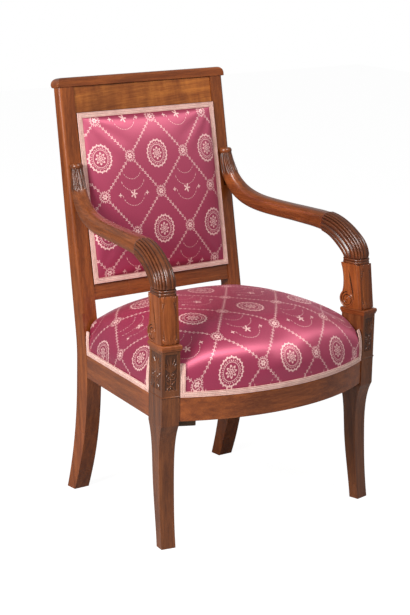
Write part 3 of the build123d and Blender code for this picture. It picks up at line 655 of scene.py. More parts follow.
# The quirks between the ring's beads, and the groove above them, get painted shade with old polish.
for n in range(ring_steps + 1):
    bead = abs(math.sin(2 * math.pi * n / ring_steps)) ** 0.7
    add_section(
        ring_foot + lift(ring_height * n / ring_steps), (0, 0, 1), ring_width + ring_bead * bead,
        ring_depth + ring_bead * bead, 0.66, 0, carved_dark + (1 - carved_dark) * (1 - bead) ** 2,
    )
add_section(
    ring_foot + lift(groove_up), (0, 0, 1), ring_width - groove_in, ring_depth - groove_in, 0.7, 0, 1
)
reach = arm_end - arm_start
bends = [
    arm_start + Vector((reach.x * run, reach.y * run, reach.z * rise)) + post_out * bow
    for run, bow, rise in arm_bends
]
line, slopes = clamped_spline([arm_start, *bends, arm_end], (0, 0, 1), rake_up, stations)
for share, centre, tangent in zip(np.linspace(0, 1, stations), line, slopes):
    width, depth = (np.interp(share, arm_widths[:, 0], arm_widths[:, i]) / 1000 for i in (1, 2))
    if share < shoulder_end:
        swell = shoulder_reed * min(1, 0.35 + share / 0.012, 0.25 + (shoulder_end - share) / 0.008)
        square = 0.75
    else:
        swell = neck_reed * np.clip((share - neck_start) / 0.02, 0, 1) ** 0.5
        square = 0.64
    add_section(centre, tangent, width, depth, square, swell)
arm_points = np.concatenate(sections)
behind = (arm_points - np.array(back_at)) @ np.array(rake_front)
arm_points -= np.minimum(behind, 0)[:, None] * np.array(rake_front)
arm_faces = grid_faces(len(sections), around, wrap=True)
arm_faces += [tuple(range(around)), tuple(range((len(sections) - 1) * around, len(sections) * around))]
disc_profile = [
    (0, 0), (0.0098, 0), (0.0122, 0.0006), (0.014, 0.0022), (0.0149, 0.0046), (0.015, 0.0074),
    (0.0143, 0.01), (0.0126, 0.012), (0.0098, 0.0132), (0.0055, 0.0137), (0, 0.0138),
]
disc_turns = 48
disc_faces = grid_faces(len(disc_profile), disc_turns, wrap=True)
disc_points = []
for radius, up in disc_profile:
    for turn in np.arange(disc_turns) * 2 * math.pi / disc_turns:
        aside = Vector((math.cos(turn) * radius, 0, 0)) + rake_front * (math.sin(turn) * radius)
        spot = disc_foot + rake_up * up + aside
        disc_points.append(spot - rake_front * min(0, (spot - back_at).dot(rake_front)))
for side, sign in sides.items():
    arm_mahogany = polished_mahogany(
        f"{side}_arm_mahogany", (sign * post_back.x, post_back.y, 0), light=(0.29, 0.078, 0.019),
        dark=(0.1, 0.024, 0.006),
    )
    arm = mesh_piece(f"{side}_carved_arm", arm_points, arm_faces, 34, sign)
    mark_shade_and_polish(arm, np.concatenate(arm_shade_and_polish))
    finish_piece(arm, arm_mahogany, "mahogany", f"{side}_arm")
    disc = mesh_piece(f"{side}_arm_disc", disc_points, disc_faces, 40, sign)
    closed = bmesh.new()
    closed.from_mesh(disc.data)
    bmesh.ops.remove_doubles(closed, verts=closed.verts, dist=1e-6)
    closed.to_mesh(disc.data)
    closed.free()
    finish_piece(disc, arm_mahogany, "mahogany")


# Back rails and crest
# A straight lower rail and a figured board are tenoned between the stiles, set a little behind their
# faces; the moulded cap lies over the board and both posts and is glued and pegged down.
eased_copy("lower_back_rail", 0.0009, across_mahogany, "mahogany")
figured_mahogany = polished_mahogany(
    "figured_mahogany", (1, 0, 0.06), light=(0.46, 0.15, 0.028), dark=(0.2, 0.05, 0.01), figure=0.5
)
eased_copy("crest_panel", 0.0009, figured_mahogany, "figured_mahogany")
eased_copy("crest_cap", 0.001, across_mahogany, "mahogany", 40)


# Webbing and hessian
# Jute webbing interlaced over the seat rails and nailed, with hessian tacked over it to carry the
# stuffing; the back has three upright straps and its own hessian.
def weave_map(tree):
    return add_node(tree, "ShaderNodeUVMap", {}, uv_map="weave")


def woven(name, light, dark, pitch):
    """Plain coarse weave on a piece's own map, which is in metres."""
    material, tree = new_material(name)
    place = weave_map(tree)
    across = add_node(tree, "ShaderNodeSeparateXYZ", {"Vector": place}, "X")
    over = 1.0
    for axis in (across, across.beside("Y")):
        over = calc("SINE", axis * (2 * math.pi / pitch)) * over
    slubs = noise(place, 240.0, 3.0, 0.6)
    set_shader(tree, {
        "Base Color": colour_steps(over * 0.22 + slubs, [(0.25, dark), (0.75, light)]),
        "Roughness": 0.85, "Normal": bumped(over, 0.5, 0.0004),
    })
    return material


def give_map(piece, places):
    """Set a piece's weave map, in metres, from one place per vertex."""
    layer = piece.data.uv_layers.new(name="weave")
    loops = np.empty(len(piece.data.loops), dtype=np.int32)
    piece.data.loops.foreach_get("vertex_index", loops)
    layer.data.foreach_set("uv", np.asarray(places, dtype=np.float32)[loops].reshape(-1))


strap_width, strap_pitch, strap_thickness = 0.052, 0.062, 0.0014
strap_section = [(-0.5, 0), *((share, 1) for share in (-0.5, -0.25, 0, 0.25, 0.5))]
strap_section += [(share, 0) for share in (0.5, 0.25, 0, -0.25)]


def straps(name, runs, across, out, node):
    """Flat straps as one piece. Each run is the line of its centre points."""
    points, faces, places = [], [], []
    size = len(strap_section)
    across, out = Vector(across), Vector(out)
    for centres in runs:
        start, gone = len(points), 0.0
        for n, centre in enumerate(centres):
            gone += (Vector(centre) - Vector(centres[n - 1])).length if n else 0
            for share, face in strap_section:
                points.append(Vector(centre) + across * share * strap_width + out * face * strap_thickness)
                places.append((share * strap_width, gone))
        faces += [tuple(start + i for i in face) for face in grid_faces(len(centres), size, wrap=True)]
        last = start + (len(centres) - 1) * size
        faces += [tuple(range(start, start + size)), tuple(range(last, last + size))]
    piece = mesh_piece(name, points, faces, 60)
    give_map(piece, places)
    finish_piece(piece, jute, "webbing", node)


jute = woven("jute_webbing", (0.5, 0.38, 0.22), (0.24, 0.17, 0.09), 0.0042)
hessian = woven("hessian", (0.52, 0.4, 0.23), (0.25, 0.18, 0.09), 0.0026)
rail_top = 0.340
bow_front_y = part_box("front_seat_rail")[0].y
bow_corner = post_at - post_out * (post_width / 2) - post_back * (post_depth / 2 - 0.002)
bow_rise = bow_corner.y - bow_front_y
bow_radius = (bow_corner.x**2 + bow_rise**2) / (2 * bow_rise)
bow_middle_y = bow_front_y + bow_radius


def side_x(y, inset):
    """Half width of the seat frame at a depth, drawn in from its outer faces."""
    return stile_x - inset / math.cos(splay) - (y - stile_y) * math.tan(splay)


def bow_y(x, inset):
    """Front of the bowed rail at a place across, drawn in from its face."""
    return bow_middle_y - math.sqrt((bow_radius - inset) ** 2 - x**2)


nailed_inset, first_cross_y, strap_rear_y = 0.009, -0.12, 0.170
back_strap_ends, back_strap_front = (0.012, 0.367), -0.0019
long_runs, cross_runs, back_runs = [], [], []
for n in range(6):
    x = (n - 2.5) * strap_pitch
    front_y = bow_y(abs(x) + strap_width / 2, nailed_inset)
    run = []
    for y in np.linspace(front_y, strap_rear_y, 60):
        wave = math.sin(((y - first_cross_y) / strap_pitch + n) * math.pi) ** 2
        run.append((x, y, rail_top + 0.0001 + 0.0004 * wave))
    long_runs.append(run)
straps("seat_straps_long", long_runs, (1, 0, 0), (0, 0, 1), "seat_webbing_long")
for n in range(4):
    y = first_cross_y + n * strap_pitch
    end = side_x(y + strap_width / 2, nailed_inset)
    run = []
    for x in np.linspace(-end, end, 90):
        run.append((x, y, rail_top + 0.0017 - 0.0016 * np.clip((abs(x) - 0.185) / 0.02, 0, 1)))
    cross_runs.append(run)
straps("seat_straps_cross", cross_runs, (0, 1, 0), (0, 0, 1), "seat_webbing_cross")
for n in (-1, 0, 1):
    ups = np.linspace(*back_strap_ends, 30)
    back_runs.append([on_back(n * 2 * strap_pitch, up, back_strap_front) for up in ups])
straps("back_straps", back_runs, (1, 0, 0), rake_front, "back_webbing")


def cloth_sheet(name, place_of, count, thickness, out, material, slot, node):
    """Stretched cloth over a frame, as a thin closed sheet from places over two shares."""
    u, v = (shares.reshape(-1) for shares in np.meshgrid(*[np.linspace(0, 1, count)] * 2))
    face = np.array([place_of(a, b) for a, b in zip(u, v)])
    quads, rim, under = grid_faces(count, count), rim_of(count, count), len(face)
    faces = quads + [tuple(under + i for i in reversed(quad)) for quad in quads]
    faces += loop_faces([rim, [under + i for i in rim]])
    piece = mesh_piece(name, np.concatenate([face, face - np.array(out) * thickness]), faces, 70)
    wide = np.linalg.norm(face[count - 1] - face[0])
    high = np.linalg.norm(face[-count] - face[0])
    give_map(piece, np.tile(np.stack([u * wide, v * high], axis=1), (2, 1)))
    return finish_piece(piece, material, slot, node)


hessian_rear_y, hessian_z, hessian_inset, hessian_half = 0.174, 0.3439, 0.012, 0.2325
between_stiles, hessian_thickness = 0.1885, 0.0005


def hessian_place(a, b):
    """Place on the hessian from shares across and from the rear rail to the bowed front rail."""
    side = 2 * a - 1
    y = hessian_rear_y + b * (bow_y(side * hessian_half, hessian_inset) - hessian_rear_y)
    half = min(side_x(y, hessian_inset), hessian_half) if y < stile_y - 0.001 else between_stiles
    return (side * half, y, hessian_z)


seat_hessian = cloth_sheet(
    "seat_hessian_sheet", hessian_place, 24, hessian_thickness, (0, 0, 1), hessian, "hessian",
    "seat_hessian",
)
back_half_wide, back_half_high, back_gap = 0.1896, 0.1891, 0.0004


def back_place(a, b, front, margin, puff=0.0):
    """Place over the back opening, from shares across and up, in front of the stiles."""
    up = back_gap + margin + b * 2 * (back_half_high - margin)
    swell = puff * (16 * a * (1 - a) * b * (1 - b)) ** 0.6
    return on_back((2 * a - 1) * (back_half_wide - margin), up, front + swell)


back_hessian = cloth_sheet(
    "back_hessian_sheet", lambda a, b: back_place(a, b, front=0.0008, margin=0.003), 12, hessian_thickness,
    rake_front, hessian, "hessian", "back_hessian",
)


# Seat
# Hair stuffing stitched to a full rolled edge and covered in figured crimson silk satin, drawn down
# over the dome and tacked into the rebate of the rails, cut round the front blocks and the back posts.
def figured_satin(name, ground, motif):
    """Silk satin with a woven design: leafy trellis, wreaths and sprigs, on the piece's own map in metres."""
    material, tree = new_material(name)
    place = weave_map(tree)
    cell_wide, cell_high, leaf_pairs = 0.150, 0.172, 12.0
    line_gap = 1 / math.hypot(1 / cell_wide, 1 / cell_high)
    leaf_step = math.hypot(cell_wide, cell_high) / 2 / leaf_pairs

    def below(value, limit=0.0, soft=0.0007):
        """1 where a distance is under a limit, with a soft edge."""
        return remap(value, limit, limit + soft, 1.0, 0.0)

    def either(*masks):
        return functools.reduce(lambda first, second: calc("MAXIMUM", first, second), masks)

    def from_whole(value):
        return calc("FRACT", value + 0.5) - 0.5

    def length(first, second):
        return calc("SQRT", first**2.0 + second**2.0)

    def dotted(mask, turn, count):
        return mask * calc("GREATER_THAN", calc("COSINE", turn * count), 0.1)

    def ring(r, radius, half):
        return below(abs(r - radius), half, 0.0005)

    def lobes(turn, count, deep, least, power=1.0):
        """Radius of a flower with two petals for each count."""
        return abs(calc("COSINE", turn * count)) ** power * deep + least

    def garland(across, along):
        """Thread along a trellis line with pairs of small leaves and a berry between the pairs."""
        off = abs(from_whole(across)) * line_gap
        step = from_whole(along * leaf_pairs) * leaf_step
        leaves = below(length(off - 0.0020, (off * 0.9 + step) * 1.7), 0.0014)
        berry_step = from_whole(along * leaf_pairs + 0.5) * leaf_step
        return either(leaves, below(length(off, berry_step), 0.0008), below(off, 0.0002, 0.0004))

    def in_cell(first, second):
        """Place in metres from shares along the two directions of the trellis."""
        return (first + second) * (cell_wide / 2), (first - second) * (cell_high / 2)

    u = add_node(tree, "ShaderNodeSeparateXYZ", {"Vector": place}, "X")
    a, b = u / cell_wide, u.beside("Y") / cell_high
    p, q = a + b, a - b
    trellis = either(garland(p, q), garland(q, p))
    x, y = in_cell(from_whole(p), from_whole(q))
    r, turn = length(x, y), calc("ARCTAN2", y, x)
    knots = below(r - lobes(turn, 3.0, 0.0038, 0.0030)) * below(0.0020 - r)
    knots = either(knots, ring(r, 0.0098, 0.0005), dotted(ring(r, 0.0124, 0.0007), turn, 16.0))
    knot_clear = below(r, 0.0142, 0.0005)
    x, y = in_cell(calc("FRACT", p) - 0.5, calc("FRACT", q) - 0.5)
    r, turn = length(x, y * 0.88), calc("ARCTAN2", y, x)
    odd = calc("MODULO", calc("FLOOR", p) + calc("FLOOR", q) + 200.0, 2.0)
    wave = calc("SINE", turn * 19.0)
    wreath = below(abs(r - (wave * 0.0010 + 0.0262)) - (abs(wave) * 0.0019 + 0.0001))
    petals = below(r - lobes(turn, 4.0, 0.0080, 0.0046)) * below(lobes(turn, 4.0, 0.0072, 0.0024) - r)
    medal = either(
        wreath, petals, ring(r, 0.0175, 0.0003), dotted(ring(r, 0.0205, 0.0006), turn, 30.0),
        ring(r, 0.0040, 0.0004), below(r, 0.0014),
    )

    def swag(centre_up, radius, lowest):
        """Hanging string of small beads between two trellis lines."""
        string = ring(length(x, y - centre_up), radius, 0.0004)
        return dotted(string, x, 1500.0) * below(y, lowest)

    beside = abs(x) - 0.036
    bud = lobes(calc("ARCTAN2", y, beside), 2.0, 0.0036, 0.0008, 2.0)
    spray = either(
        below(r - lobes(turn, 2.5, 0.0075, 0.0014, 2.0)), below(length(beside, y) - bud),
        swag(0.040, 0.032, 0.034), swag(0.004, 0.030, -0.002), swag(0.060, 0.026, 0.050),
    )
    design = either(trellis * (1.0 - knot_clear), knots, medal * odd + spray * (1.0 - odd))
    thread = noise(stretched(place, 420, 2600), 1.0, 2.0)
    cloth = blend_colours(design, (*ground, 1), (*motif, 1))
    set_shader(tree, {
        "Base Color": blend_colours(1.0, cloth, remap(thread, 0.3, 0.7, 0.84, 1.12), "MULTIPLY"),
        "Roughness": design * 0.12 + 0.5, "Metallic": design * -0.35 + 0.5, "IOR": 1.8,
        "Specular IOR Level": 1.0, "Specular Tint": (1.0, 0.88, 0.92, 1), "Anisotropic": 0.85,
        "Tangent": add_node(tree, "ShaderNodeTangent", {}, direction_type="UV_MAP", uv_map="weave"),
        "Sheen Weight": 0.35, "Sheen Roughness": 0.35, "Sheen Tint": (1.0, 0.55, 0.62, 1),
        "Normal": bumped(design + thread * 0.5, 0.25, 0.0003),
    })
    return material


crimson_satin = figured_satin("crimson_satin", (0.43, 0.026, 0.09), (0.88, 0.54, 0.5))
seat_rise, seat_inset, seat_rear_y, seat_middle_y = 0.118, 0.0025, 0.1765, -0.05
bow_reach = 0.26  # half the width over which the front is bowed
edge_square, edge_full = 2.6, 0.224


def roll(share):
    """Height share of the rolled edge at a share of the way from the middle to the edge."""
    return np.clip(1 - np.abs(share) ** edge_square, 0, 1) ** edge_full


def even_shares(half, count):
    """Shares from -1 to 1 spaced evenly along the curve of the rolled edge."""
    fine = np.concatenate([np.linspace(0, 0.9, 400), 1 - np.geomspace(0.1, 1e-9, 1600)])
    fine[-1] = 1
    walk = np.cumsum(np.hypot(np.diff(fine) * half, np.diff(roll(fine)) * seat_rise))
    walk = np.concatenate([[0], walk])
    right = np.interp(np.linspace(0, walk[-1], count), walk, fine)
    return np.concatenate([-right[:0:-1], right])


def seat_place(s, t):
    """Plan place of the seat cover from shares across (s) and front to rear (t), both from -1 to 1."""
    front = bow_front_y
    for _ in range(5):
        middle = (seat_rear_y + front) / 2
        y = middle + t * (seat_rear_y - middle)
        x = s * side_x(y, seat_inset)
        front = bow_y(min(abs(x), bow_reach), seat_inset)
    return x, y


def run_along(dome, axis):
    """Distance over the dome from its middle line, along one axis of its grid."""
    steps = np.linalg.norm(np.diff(dome, axis=axis), axis=2)
    walk = np.insert(np.cumsum(steps, axis=axis), 0, 0, axis=axis)
    return walk - np.take(walk, [walk.shape[axis] // 2], axis=axis)


across_shares, depth_shares = even_shares(half=0.245, count=62), even_shares(half=0.230, count=60)
rows, columns = len(depth_shares), len(across_shares)
plan = np.array([[seat_place(s, t) for s in across_shares] for t in depth_shares])
heights = seat_rise * np.outer(roll(depth_shares), roll(across_shares))
dome = np.dstack([plan, rail_top + heights])
seat_points = [tuple(p) for p in dome.reshape(-1, 3)]
seat_map = [tuple(p) for p in np.dstack([run_along(dome, 1), run_along(dome, 0)]).reshape(-1, 2)]
seat_loops = [rim_of(rows, columns)]
for drop, inset in ((-0.0136, 0.0), (-0.0136, 0.0013), (0.0046, 0.0013)):  # down, under and up inside
    seat_loops.append([])
    for i in seat_loops[0]:
        x, y, _ = seat_points[i]
        towards = Vector((-x, seat_middle_y - y, 0)).normalized() * inset
        seat_loops[-1].append(len(seat_points))
        seat_points.append((x + towards.x, y + towards.y, rail_top + drop))
        seat_map.append(seat_map[i])


def places_of(mesh):
    places = np.empty(len(mesh.vertices) * 3, dtype=np.float32)
    mesh.vertices.foreach_get("co", places)
    return places.reshape(-1, 3)


def put_at(mesh, places):
    mesh.vertices.foreach_set("co", places.reshape(-1))
    mesh.update()


cloth_frames, smoothings = 20, 14


def swell_under_silk(pad, loops, most, pressure):
    """Cloth simulation: the cover, tacked at its loops, swells by no more than a given distance."""
    held = [i for loop in loops for i in loop]
    start = places_of(pad.data)
    pad.vertex_groups.new(name="tacked").add(held, 1.0, "REPLACE")
    cloth = pad.modifiers.new("cloth", "CLOTH")
    settings = {
        "quality": 4, "mass": 0.25, "tension_stiffness": 12, "compression_stiffness": 12,
        "shear_stiffness": 6, "bending_stiffness": 0.6, "use_pressure": True,
        "uniform_pressure_force": pressure, "vertex_group_mass": "tacked",
    }
    for key, value in settings.items():
        setattr(cloth.settings, key, value)
    cloth.settings.effector_weights.gravity = 0
    cloth.collision_settings.use_collision = False
    cloth.point_cache.frame_start, cloth.point_cache.frame_end = 1, cloth_frames
    for step in range(1, cloth_frames + 1):
        bpy.context.scene.frame_set(step)
    move = places_of(pad.evaluated_get(bpy.context.evaluated_depsgraph_get()).data) - start
    pad.modifiers.clear()
    pad.vertex_groups.clear()
    bpy.context.scene.frame_set(1)
    length = np.linalg.norm(move, axis=1)
    move *= np.minimum(1, most / np.maximum(length, 1e-9))[:, None]
    ends = np.empty(len(pad.data.edges) * 2, dtype=np.int32)
    pad.data.edges.foreach_get("vertices", ends)
    first, second = ends[::2], ends[1::2]
    degree = np.bincount(ends, minlength=len(start))[:, None]
    for _ in range(smoothings):
        around = np.zeros_like(move)
        np.add.at(around, first, move[second])
        np.add.at(around, second, move[first])
        move = 0.4 * move + 0.6 * around / degree
        move[held] = 0
    put_at(pad.data, start + move)


cap_foot_z, cap_top_z, cap_lip = 0.4225, 0.4415, 0.0035
stile_inner_x, stile_lean_z = 0.190, 0.345


def clear_of_posts(pad, gap):
    """Press the cover back from the front blocks, their caps and the back posts."""
    places = places_of(pad.data)
    for p in places:
        sign = -1.0 if p[0] < 0 else 1.0
        spot = Vector((abs(p[0]), p[1], 0)) - post_at
        lip = cap_lip if cap_foot_z < p[2] < cap_top_z else 0.0
        inner = spot.dot(post_out) + post_width / 2 + gap + lip
        rear = post_depth / 2 + gap + lip - spot.dot(post_back)
        if inner > 0 and rear > 0 and p[2] < cap_top_z:
            spot += post_out * -inner if inner < rear else post_back * rear
            p[0], p[1] = sign * (post_at.x + spot.x), post_at.y + spot.y
        stile_in = abs(p[0]) - stile_inner_x + gap
        stile_front = p[1] - (stile_y + max(0.0, p[2] - stile_lean_z) * math.tan(rake)) + gap
        if stile_in > 0 and stile_front > 0:
            if stile_in < stile_front:
                p[0] -= sign * stile_in
            else:
                p[1] -= stile_front
    put_at(pad.data, places)


def fine_and_closed(pad):
    """Apply one level of subdivision, keep the map and close the flat underside."""
    finer = pad.modifiers.new("finer", "SUBSURF")
    finer.levels = finer.render_levels = 1
    apply_modifiers(pad)
    shape = bmesh.new()
    shape.from_mesh(pad.data)
    bmesh.ops.holes_fill(shape, edges=[e for e in shape.edges if e.is_boundary], sides=0)
    bmesh.ops.recalc_face_normals(shape, faces=shape.faces)
    smooth_but_sharp(shape, 60)
    shape.to_mesh(pad.data)
    shape.free()


seat_faces = grid_faces(rows, columns) + loop_faces(seat_loops)
seat = mesh_piece("seat_upholstery", seat_points, seat_faces, sharp=100)
give_map(seat, seat_map)
swell_under_silk(seat, seat_loops, most=0.010, pressure=4.0)
clear_of_posts(seat, gap=0.0008)
fine_and_closed(seat)
finish_piece(seat, crimson_satin, "silk", "seat_cover", "seat_stuffing")


# Back pad
# A thin crowned stuffing on the slim inner frame, covered in the same silk, which is drawn tight and
# tacked round the edge of the opening under the braid.
back_rise, back_edge_front, back_tack_front = 0.0225, 0.0023, 0.0009
crown_inset, crown_map = 0.0118, 1.01
back_count, back_overlap = 97, 0.0006
back_shares = np.sin(np.linspace(-1, 1, back_count) * math.pi / 2)
back_points, back_map = [], []


def back_roll(share):
    return np.clip(1 - np.abs(share) ** 2.4, 0, 1) ** 0.42


def add_back_point(s, t, inset, front, stretch=1.0):
    """Point of the back cover and of its map, from shares across and up of the opening less an inset."""
    x, y = s * (back_half_wide - inset), t * (back_half_high - inset)
    back_points.append(on_back(x, back_half_high + y, front))
    back_map.append((x * stretch, y * stretch))


for t in back_shares:
    for s in back_shares:
        front = back_edge_front + back_rise * back_roll(s) * back_roll(t)
        add_back_point(s, t, crown_inset, front, crown_map)
back_loops = [rim_of(back_count, back_count)]
for inset, front in (
    (back_overlap, back_edge_front), (back_overlap, back_tack_front), (crown_inset, back_tack_front)
):
    back_loops.append(list(range(len(back_points), len(back_points) + len(back_loops[0]))))
    for i in back_loops[0]:
        add_back_point(back_shares[i % back_count], back_shares[i // back_count], inset, front)
back_faces = grid_faces(back_count, back_count) + loop_faces(back_loops)
back_pad = mesh_piece("back_upholstery", back_points, back_faces, sharp=100)
give_map(back_pad, back_map)
swell_under_silk(back_pad, back_loops, most=0.0022, pressure=3.0)
fine_and_closed(back_pad)
finish_piece(back_pad, crimson_satin, "silk", "back_cover", "back_stuffing")


# Outside back
# Plain crimson cloth stretched over the rear of the inner frame and tacked under its own braid.
# Cheaper than the silk in front, since it stands against the wall.
def plain_cloth(name, colour):
    material, tree = new_material(name)
    place = weave_map(tree)
    thread = noise(stretched(place, 500, 2200), 1.0, 2.0)
    tone = noise(place, 9.0, 3.0) * 0.45 + thread * 0.5
    dark, light = (tuple(c * share for c in colour) for share in (0.72, 1.25))
    set_shader(tree, {
        "Base Color": colour_steps(tone, [(0.3, dark), (0.66, light)]), "Roughness": 0.55,
        "Sheen Weight": 0.3, "Normal": bumped(thread, 0.2, 0.0003),
    })
    return material


outside_cloth = plain_cloth("outside_cloth", (0.24, 0.02, 0.045))
outside = cloth_sheet(
    "outside_back_sheet", lambda a, b: back_place(1 - a, b, front=-0.0160, margin=0.001, puff=-0.0012), 40,
    0.0006, -rake_front, outside_cloth, "outside_cloth", "outside_back_cloth",
)


# Braid
# Woven silk gimp, pale pink and cream: a narrow tape with corded edges and two slanted rows of plaited
# stitches, glued over the tacked edges of the seat, the back and the outside back.
def braid_silk(name, light, dark):
    material, tree = new_material(name)
    own = add_node(tree, "ShaderNodeTexCoord", {}, "Object")
    twist = noise(own, 900.0, 2.0)
    tone = noise(own, 60.0, 3.0) * 0.5 + twist * 0.5
    set_shader(tree, {
        "Base Color": colour_steps(tone, [(0.3, dark), (0.68, light)]), "Roughness": 0.6,
        "Sheen Weight": 0.3, "Normal": bumped(twist, 0.3, 0.0003),
    })
    return material


braid_tape_silk = braid_silk("braid_tape_silk", (0.80, 0.52, 0.44), (0.52, 0.26, 0.22))
braid_stitch_silk = braid_silk("braid_stitch_silk", (0.88, 0.66, 0.57), (0.66, 0.40, 0.34))
stitch_pitch, stitch_size, stitch_slant = 0.0034, (0.0008, 0.0022, 0.0008), 0.75
row_aside, row_lift = 0.0019, 0.0014


def stitch_tree():
    """Geometry nodes: two rows of slanted stitches along a path whose points carry the face they lie on."""
    tree = bpy.data.node_groups.new("plaited_stitches", "GeometryNodeTree")
    for label, way in (("Path", "INPUT"), ("Stitches", "OUTPUT")):
        tree.interface.new_socket(label, in_out=way, socket_type="NodeSocketGeometry")

    def carried(name):
        return add_node(tree, "GeometryNodeInputNamedAttribute", {"Name": name}, data_type="FLOAT_VECTOR")

    def vectors(operation, inputs):
        return add_node(tree, "ShaderNodeVectorMath", inputs, operation=operation)

    curve = add_node(tree, "GeometryNodeMeshToCurve", {"Mesh": add_node(tree, "NodeGroupInput", {})})
    points = add_node(
        tree, "GeometryNodeCurveToPoints", {"Curve": curve, "Length": stitch_pitch}, "Points", mode="LENGTH"
    )
    spots = add_node(
        tree, "GeometryNodeStoreNamedAttribute",
        {"Geometry": points, "Name": "run", "Value": points.beside("Tangent")}, data_type="FLOAT_VECTOR",
    )
    face, run = carried("face_out"), carried("run")
    aside = vectors("CROSS_PRODUCT", {0: face, 1: run})
    lifted = vectors("SCALE", {0: face, "Scale": row_lift})
    bead = add_node(tree, "GeometryNodeMeshUVSphere", {"Segments": 8, "Rings": 5, "Radius": 1.0})
    rows = add_node(tree, "GeometryNodeJoinGeometry", {})
    for sign in (-1.0, 1.0):
        offset = vectors("ADD", {0: vectors("SCALE", {0: aside, "Scale": sign * row_aside}), 1: lifted})
        slant = vectors("ADD", {0: run, 1: vectors("SCALE", {0: aside, "Scale": sign * stitch_slant})})
        moved = add_node(tree, "GeometryNodeSetPosition", {"Geometry": spots, "Offset": offset})
        turned = add_node(
            tree, "FunctionNodeAxesToRotation", {"Primary Axis": face, "Secondary Axis": slant},
            primary_axis="Z", secondary_axis="Y",
        )
        inputs = {"Points": moved, "Instance": bead, "Rotation": turned, "Scale": stitch_size}
        set_inputs(rows.socket.node, {0: add_node(tree, "GeometryNodeInstanceOnPoints", inputs)})
    real = add_node(tree, "GeometryNodeRealizeInstances", {"Geometry": rows})
    set_inputs(tree.nodes.new("NodeGroupOutput"), {0: real})
    return tree


plaited_stitches = stitch_tree()


def stitched(name, paths, closed=False):
    """Stitches along pairs of a path and the faces that its points lie on, as a plain mesh."""
    points, edges, outs = [], [], []
    for path, faces in paths:
        start, last = len(points), len(points) + len(path) - 1
        points += path
        outs += [Vector(o).normalized() for o in faces]
        edges += [(n, n + 1) for n in range(start, last)]
        if closed:
            edges.append((last, start))
    mesh = bpy.data.meshes.new(name)
    mesh.from_pydata(points, edges, [])
    layer = mesh.attributes.new("face_out", "FLOAT_VECTOR", "POINT")
    layer.data.foreach_set("vector", np.array(outs, dtype=np.float32).reshape(-1))
    piece = link_piece(name, mesh)
    piece.modifiers.new("sewn", "NODES").node_group = plaited_stitches
    apply_modifiers(piece)
    piece.data.shade_smooth()
    finish_piece(piece, braid_stitch_silk, "braid")


def straight(first, last, count):
    return [Vector(first).lerp(Vector(last), n / (count - 1)) for n in range(count)]


def flipped(vectors):
    """Left-hand path from a right-hand one, in the other direction."""
    return [Vector((-v.x, v.y, v.z)) for v in reversed(vectors)]


tape_half, braid_z, tape_inset = 0.006, 0.3312, 0.0012
post_gap, stile_gap, rear_braid_y, outside_front = 0.0064, 0.0070, 0.1778, -0.0172
tape_profile = [
    (-0.006, -0.0002), (-0.006, 0.0011), (-0.0055, 0.0018), (-0.0047, 0.0018), (-0.0042, 0.0011),
    (0.0042, 0.0011), (0.0047, 0.0018), (0.0055, 0.0018), (0.006, 0.0011), (0.006, -0.0002),
]
rail_line = post_at + post_out * (post_width / 2) + lift(braid_z)
block_rear = rail_line + post_back * (post_depth / 2 + post_gap)
stile_front = rail_line + post_back * (run_y / math.cos(splay) - stile_gap)
# How far the braid climbs at the back posts and at the blocks, and how far in it lies there.
rear_rise = [(0.046, 0.0042), (0.036, 0.0026), (0.024, 0.0014), (0.012, 0.0012)]
block_rise = [
    (0.010, 0.0012), (0.022, 0.0010), (0.036, 0.0016), (0.048, 0.0030), (0.057, 0.0052), (0.064, 0.0080)
]
side_path = [
    stile_front + post_back * (up * math.tan(rake)) + lift(up) - post_out * inset for up, inset in rear_rise
]
side_path += [p - post_out * tape_inset for p in straight(stile_front, block_rear, 40)]
side_path += [block_rear + lift(up) - post_out * inset for up, inset in block_rise]
side_outs = [post_out] * len(side_path)
bow_end = post_at - post_out * (post_width / 2 + post_gap) - post_back * (post_depth / 2)
bow_turn = math.asin(bow_end.x / bow_radius)
bow_outs = [Vector((math.sin(t), -math.cos(t), 0)) for t in np.linspace(-bow_turn, bow_turn, 70)]
bow_path = [Vector((0, bow_middle_y, braid_z)) + out * (bow_radius - tape_inset) for out in bow_outs]
right_rise = [bow_path[-1] + lift(up) - bow_outs[-1] * (inset * 1.1 - tape_inset) for up, inset in block_rise]
front_path = flipped(right_rise) + bow_path + right_rise
front_outs = [bow_outs[0]] * len(right_rise) + bow_outs + [bow_outs[-1]] * len(right_rise)
rear_path = straight(
    (between_stiles, rear_braid_y, braid_z), (-between_stiles, rear_braid_y, braid_z), 30
)
seat_paths = [
    (front_path, front_outs), (side_path, side_outs), (flipped(side_path), flipped(side_outs)),
    (rear_path, [Vector((0, 1, 0))] * len(rear_path)),
]
joined = bmesh.new()
for path, outs in seat_paths:
    tape = strip("seat_tape", path, outs, tape_profile)
    joined.from_mesh(tape.data)
    bpy.data.objects.remove(tape)
finish_piece(piece_from(joined, "seat_braid_tape"), braid_tape_silk, "braid", "seat_gimp")
stitched("seat_braid_stitches", seat_paths)


def back_frame_path(front, per_side):
    """Closed path round the back opening, at a distance in front of the stiles."""
    corners = [(-1, -1), (1, -1), (1, 1), (-1, 1)]
    path = []
    for (x0, y0), (x1, y1) in zip(corners, corners[1:] + corners[:1]):
        for share in np.arange(per_side) / per_side:
            x = (x0 + (x1 - x0) * share) * (back_half_wide - tape_half)
            y = (y0 + (y1 - y0) * share) * (back_half_high - tape_half)
            path.append(on_back(x, back_half_high + back_gap + y, front))
    return path


